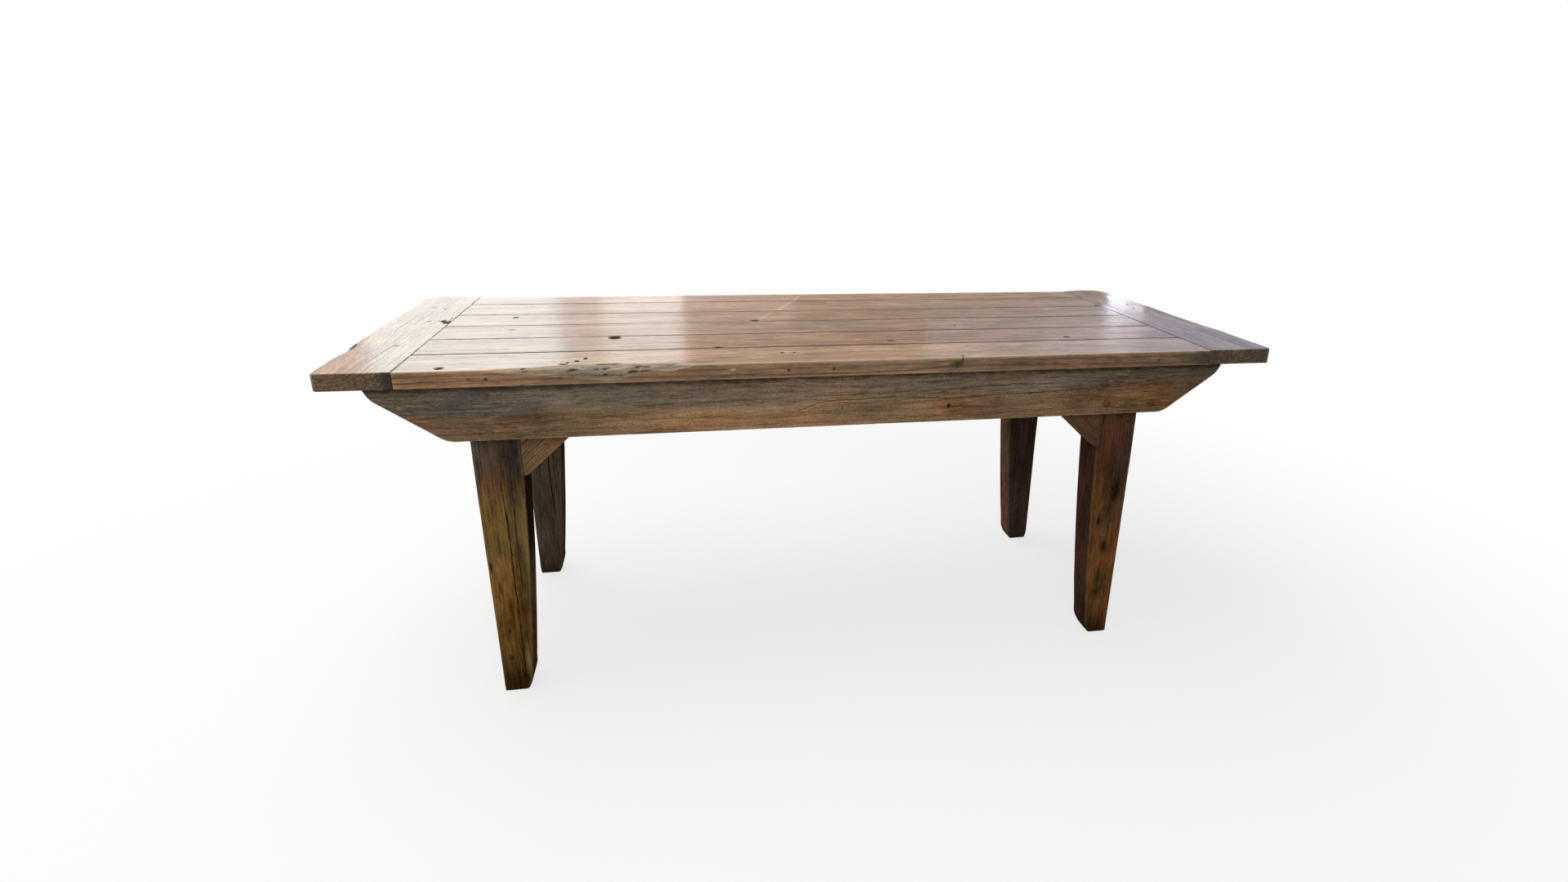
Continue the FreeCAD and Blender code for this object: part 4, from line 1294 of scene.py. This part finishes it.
smallFinishes = {
    "pegWood": {
        "dark": (0.035, 0.02, 0.012), "pale": (0.10, 0.055, 0.03), "stain": (0.02, 0.013, 0.009),
        "stretch": (900.0, 900.0, 900.0), "rough": (0.4, 0.6), "shine": 0.25, "metal": 0.0,
    },
    "railPegWood": {
        "dark": (0.20, 0.125, 0.066), "pale": (0.32, 0.205, 0.11), "stain": (0.14, 0.085, 0.045),
        "upper": (0.79, 0.96, 1.31),  # the rail is greyer higher up
        "stretch": (800.0, 300.0, 800.0), "rough": (0.6, 0.8), "shine": 0.05, "metal": 0.0,
    },
    "buttonPine": {
        "dark": (0.22, 0.14, 0.075), "pale": (0.38, 0.26, 0.15), "stain": (0.16, 0.11, 0.07),
        "stretch": (40.0, 700.0, 700.0), "rough": (0.6, 0.8), "shine": 0.2, "metal": 0.0,
    },
    "nailIron": {
        "dark": (0.05, 0.045, 0.042), "pale": (0.11, 0.10, 0.095), "stain": (0.10, 0.045, 0.02),
        "stretch": (700.0, 700.0, 700.0), "rough": (0.5, 0.75), "shine": 0.25, "metal": 0.8,
    },
    "screwSteel": {
        "dark": (0.25, 0.24, 0.22), "pale": (0.45, 0.43, 0.40), "stain": (0.20, 0.12, 0.07),
        "stretch": (600.0, 600.0, 900.0), "rough": (0.35, 0.6), "shine": 0.25, "metal": 0.9,
    },
}
smallParts = {
    "pegWood": ("breadboard_pegs_left", "breadboard_pegs_right", "tenon_pegs"),
    "railPegWood": ("rail_pegs_front", "rail_pegs_back"),
    "buttonPine": ("top_buttons_front", "top_buttons_back"), "nailIron": ("brace_nails",),
    "screwSteel": ("batten_screws", "button_screws"),
}
for name, nodes in smallParts.items():
    finish = speckledMaterial(name, smallFinishes[name])
    for node in nodes:
        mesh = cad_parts[node].data
        mesh.materials.clear()
        mesh.materials.append(finish)
print("pegs, nails, buttons and screws finished")

# Studio: pale floor that fades to white, soft lamps, and a dim wall with windows
# that the waxed top mirrors
studio = {
    "floorSize": 24.0,
    "floorDrop": -0.0004,  # just under the feet
    "floorPale": (0.95, 0.95, 0.95),  # as the camera sees it
    "floorDim": (0.28, 0.26, 0.24),  # as it lights the underside
    "shadowShare": 0.27, "shadowReach": (2.6, 0.9), "skyLight": 0.22,
    "wall": (-8.0, 8.0, 0.7, 6.0),  # left, right, bottom, top
    "wallY": 3.4, "wallTone": (0.30, 0.27, 0.26),
}


def stagePlane(name, corners, spot):
    mesh = bpy.data.meshes.new(name)
    mesh.from_pydata(corners, [], [(0, 1, 2, 3)])
    plane = bpy.data.objects.new(name, mesh)
    plane.location = spot
    scene.collection.objects.link(plane)
    return plane


def paleRays(tree):
    path = tree.nodes.new("ShaderNodeLightPath").outputs
    seen = most(tree, path["Is Camera Ray"], path["Is Transmission Ray"])
    return most(tree, seen, path["Is Glossy Ray"])


def mixShaders(tree, share, first, second):
    made = tree.nodes.new("ShaderNodeMixShader")
    for socket, value in zip(made.inputs, (share, first, second)):
        feed(tree, socket, value)
    return made.outputs[0]


def floorMaterial():
    material, tree, _ = startMaterial("paleFloor")
    tree.nodes.clear()
    pale, dim = tree.nodes.new("ShaderNodeBsdfDiffuse"), tree.nodes.new("ShaderNodeBsdfDiffuse")
    feed(tree, pale.inputs["Color"], studio["floorPale"])
    feed(tree, dim.inputs["Color"], studio["floorDim"])
    white = tree.nodes.new("ShaderNodeEmission")
    spot = tree.nodes.new("ShaderNodeTexCoord").outputs["Object"]
    away = vectorCalc(tree, "LENGTH", spot)
    shadow = between(tree, away, *studio["shadowReach"], 0.0, studio["shadowShare"])
    shown = mixShaders(tree, shadow, white.outputs[0], pale.outputs[0])
    out = tree.nodes.new("ShaderNodeOutputMaterial")
    feed(tree, out.inputs["Surface"], mixShaders(tree, paleRays(tree), dim.outputs[0], shown))
    return material


half = studio["floorSize"] / 2
floorCorners = [(-half, -half, 0), (half, -half, 0), (half, half, 0), (-half, half, 0)]
floor = stagePlane("floor", floorCorners, (0, 0, studio["floorDrop"]))
floor.data.materials.append(floorMaterial())
world = bpy.data.worlds.new("studio")
world.use_nodes = True
scene.world = world
tree = world.node_tree
background = tree.nodes["Background"]
feed(tree, background.inputs["Color"], (1.0, 1.0, 1.0))
feed(tree, background.inputs["Strength"], most(tree, paleRays(tree), studio["skyLight"]))

wallLeft, wallRight, wallFoot, wallTop = studio["wall"]
wallCorners = [(wallLeft, 0, wallFoot), (wallRight, 0, wallFoot)]
wallCorners += [(wallRight, 0, wallTop), (wallLeft, 0, wallTop)]
wall = stagePlane("roomWall", wallCorners, (0, studio["wallY"], 0))
wall.visible_camera = wall.visible_diffuse = wall.visible_shadow = False
wallMaterial, wallTree, wallShader = startMaterial("dimWall")
glow = {"Base Color": (0.0, 0.0, 0.0), "Emission Color": studio["wallTone"], "Emission Strength": 1.0}
for label, value in glow.items():
    feed(wallTree, wallShader.inputs[label], value)
wall.data.materials.append(wallMaterial)

# lamp: place, what it faces if not straight ahead, width and height in metres, brightness, colour
lamps = {
    "overhead": ((-1.2, 0.3, 3.1), (-0.3, 0.0, 0.76), (3.2, 2.6), 2.9, (1.0, 0.98, 0.95)),
    "frontFill": ((-0.8, -4.2, 2.4), (0.0, 0.0, 0.55), (3.6, 2.2), 2.1, (1.0, 0.97, 0.93)),
    "windowAside": ((-3.6, 3.0, 1.6), None, (1.6, 2.0), 1.60, (0.92, 0.985, 1.0)),
    "windowDim": ((-2.42, 3.0, 1.6), None, (0.76, 2.0), 0.72, (1.0, 0.95, 0.94)),
    "windowFarLeft": ((-1.52, 3.0, 1.6), None, (1.02, 2.0), 1.60, (0.92, 0.985, 1.0)),
    "windowHighLeft": ((-1.52, 2.9, 1.85), None, (1.02, 0.84), 0.62, (0.55, 0.88, 1.0)),
    "windowBar": ((-0.89, 3.0, 1.6), None, (0.23, 2.0), 0.68, (1.0, 0.93, 0.94)),
    "windowLeft": ((-0.55, 3.0, 1.6), None, (0.45, 2.0), 1.32, (0.92, 0.97, 1.0)),
    "windowFade": ((0.0, 3.0, 1.2), None, (0.66, 0.5), 0.25, (1.0, 0.9, 0.95)),
    "windowRight": ((2.445, 3.0, 1.16), None, (0.14, 0.41), 3.3, (0.80, 0.86, 1.0)),
    "windowRightEdge": ((2.58, 3.0, 1.18), None, (0.13, 0.41), 2.0, (0.80, 0.86, 1.0)),
    "skyNearRight": ((1.55, 3.0, 1.75), None, (0.8, 0.7), 0.40, (0.4, 0.65, 1.0)),
    "skyRight": ((2.3, 3.0, 1.72), None, (0.7, 0.7), 0.64, (0.45, 0.65, 1.0)),
    "skyFarRight": ((3.45, 3.0, 1.7), None, (1.6, 0.74), 0.70, (0.28, 0.5, 1.0)),
}
for name, (spot, target, (width, height), brightness, tint) in lamps.items():
    data = bpy.data.lights.new(name, "AREA")
    data.shape = "RECTANGLE"
    data.size, data.size_y = width, height
    data.energy = brightness * math.pi * width * height
    data.color = tint
    lamp = bpy.data.objects.new(name, data)
    lamp.location = spot
    aim = Vector(target or (spot[0], 0.0, spot[2])) - Vector(spot)
    lamp.rotation_euler = aim.to_track_quat("-Z", "Y").to_euler()
    lamp.visible_camera = False
    scene.collection.objects.link(lamp)
print("studio lit")

# Camera, fitted to the photo's edges
view = {
    "spot": (-319.25, -2057.57, 1183.57),  # mm
    "yaw": 12.818,  # degrees towards the right
    "pitch": 19.494,  # degrees down
    "roll": 1.609, "lens": 19.511, "shift": (-0.05633, 0.00079),
}
yaw, pitch, roll = (math.radians(view[key]) for key in ("yaw", "pitch", "roll"))
forward = Vector((math.sin(yaw) * math.cos(pitch), math.cos(yaw) * math.cos(pitch), -math.sin(pitch)))
right = Vector((math.cos(yaw), -math.sin(yaw), 0.0))
up = right.cross(forward)
rightRolled = right * math.cos(roll) + up * math.sin(roll)
upRolled = up * math.cos(roll) - right * math.sin(roll)
cameraData = bpy.data.cameras.new("camera")
cameraData.lens = view["lens"]
cameraData.shift_x, cameraData.shift_y = view["shift"]
camera = bpy.data.objects.new("camera", cameraData)
turned = Matrix((rightRolled, upRolled, -forward)).transposed().to_4x4()
camera.matrix_world = Matrix.Translation(Vector(view["spot"]) * mm) @ turned
scene.collection.objects.link(camera)
scene.camera = camera
print("camera set")
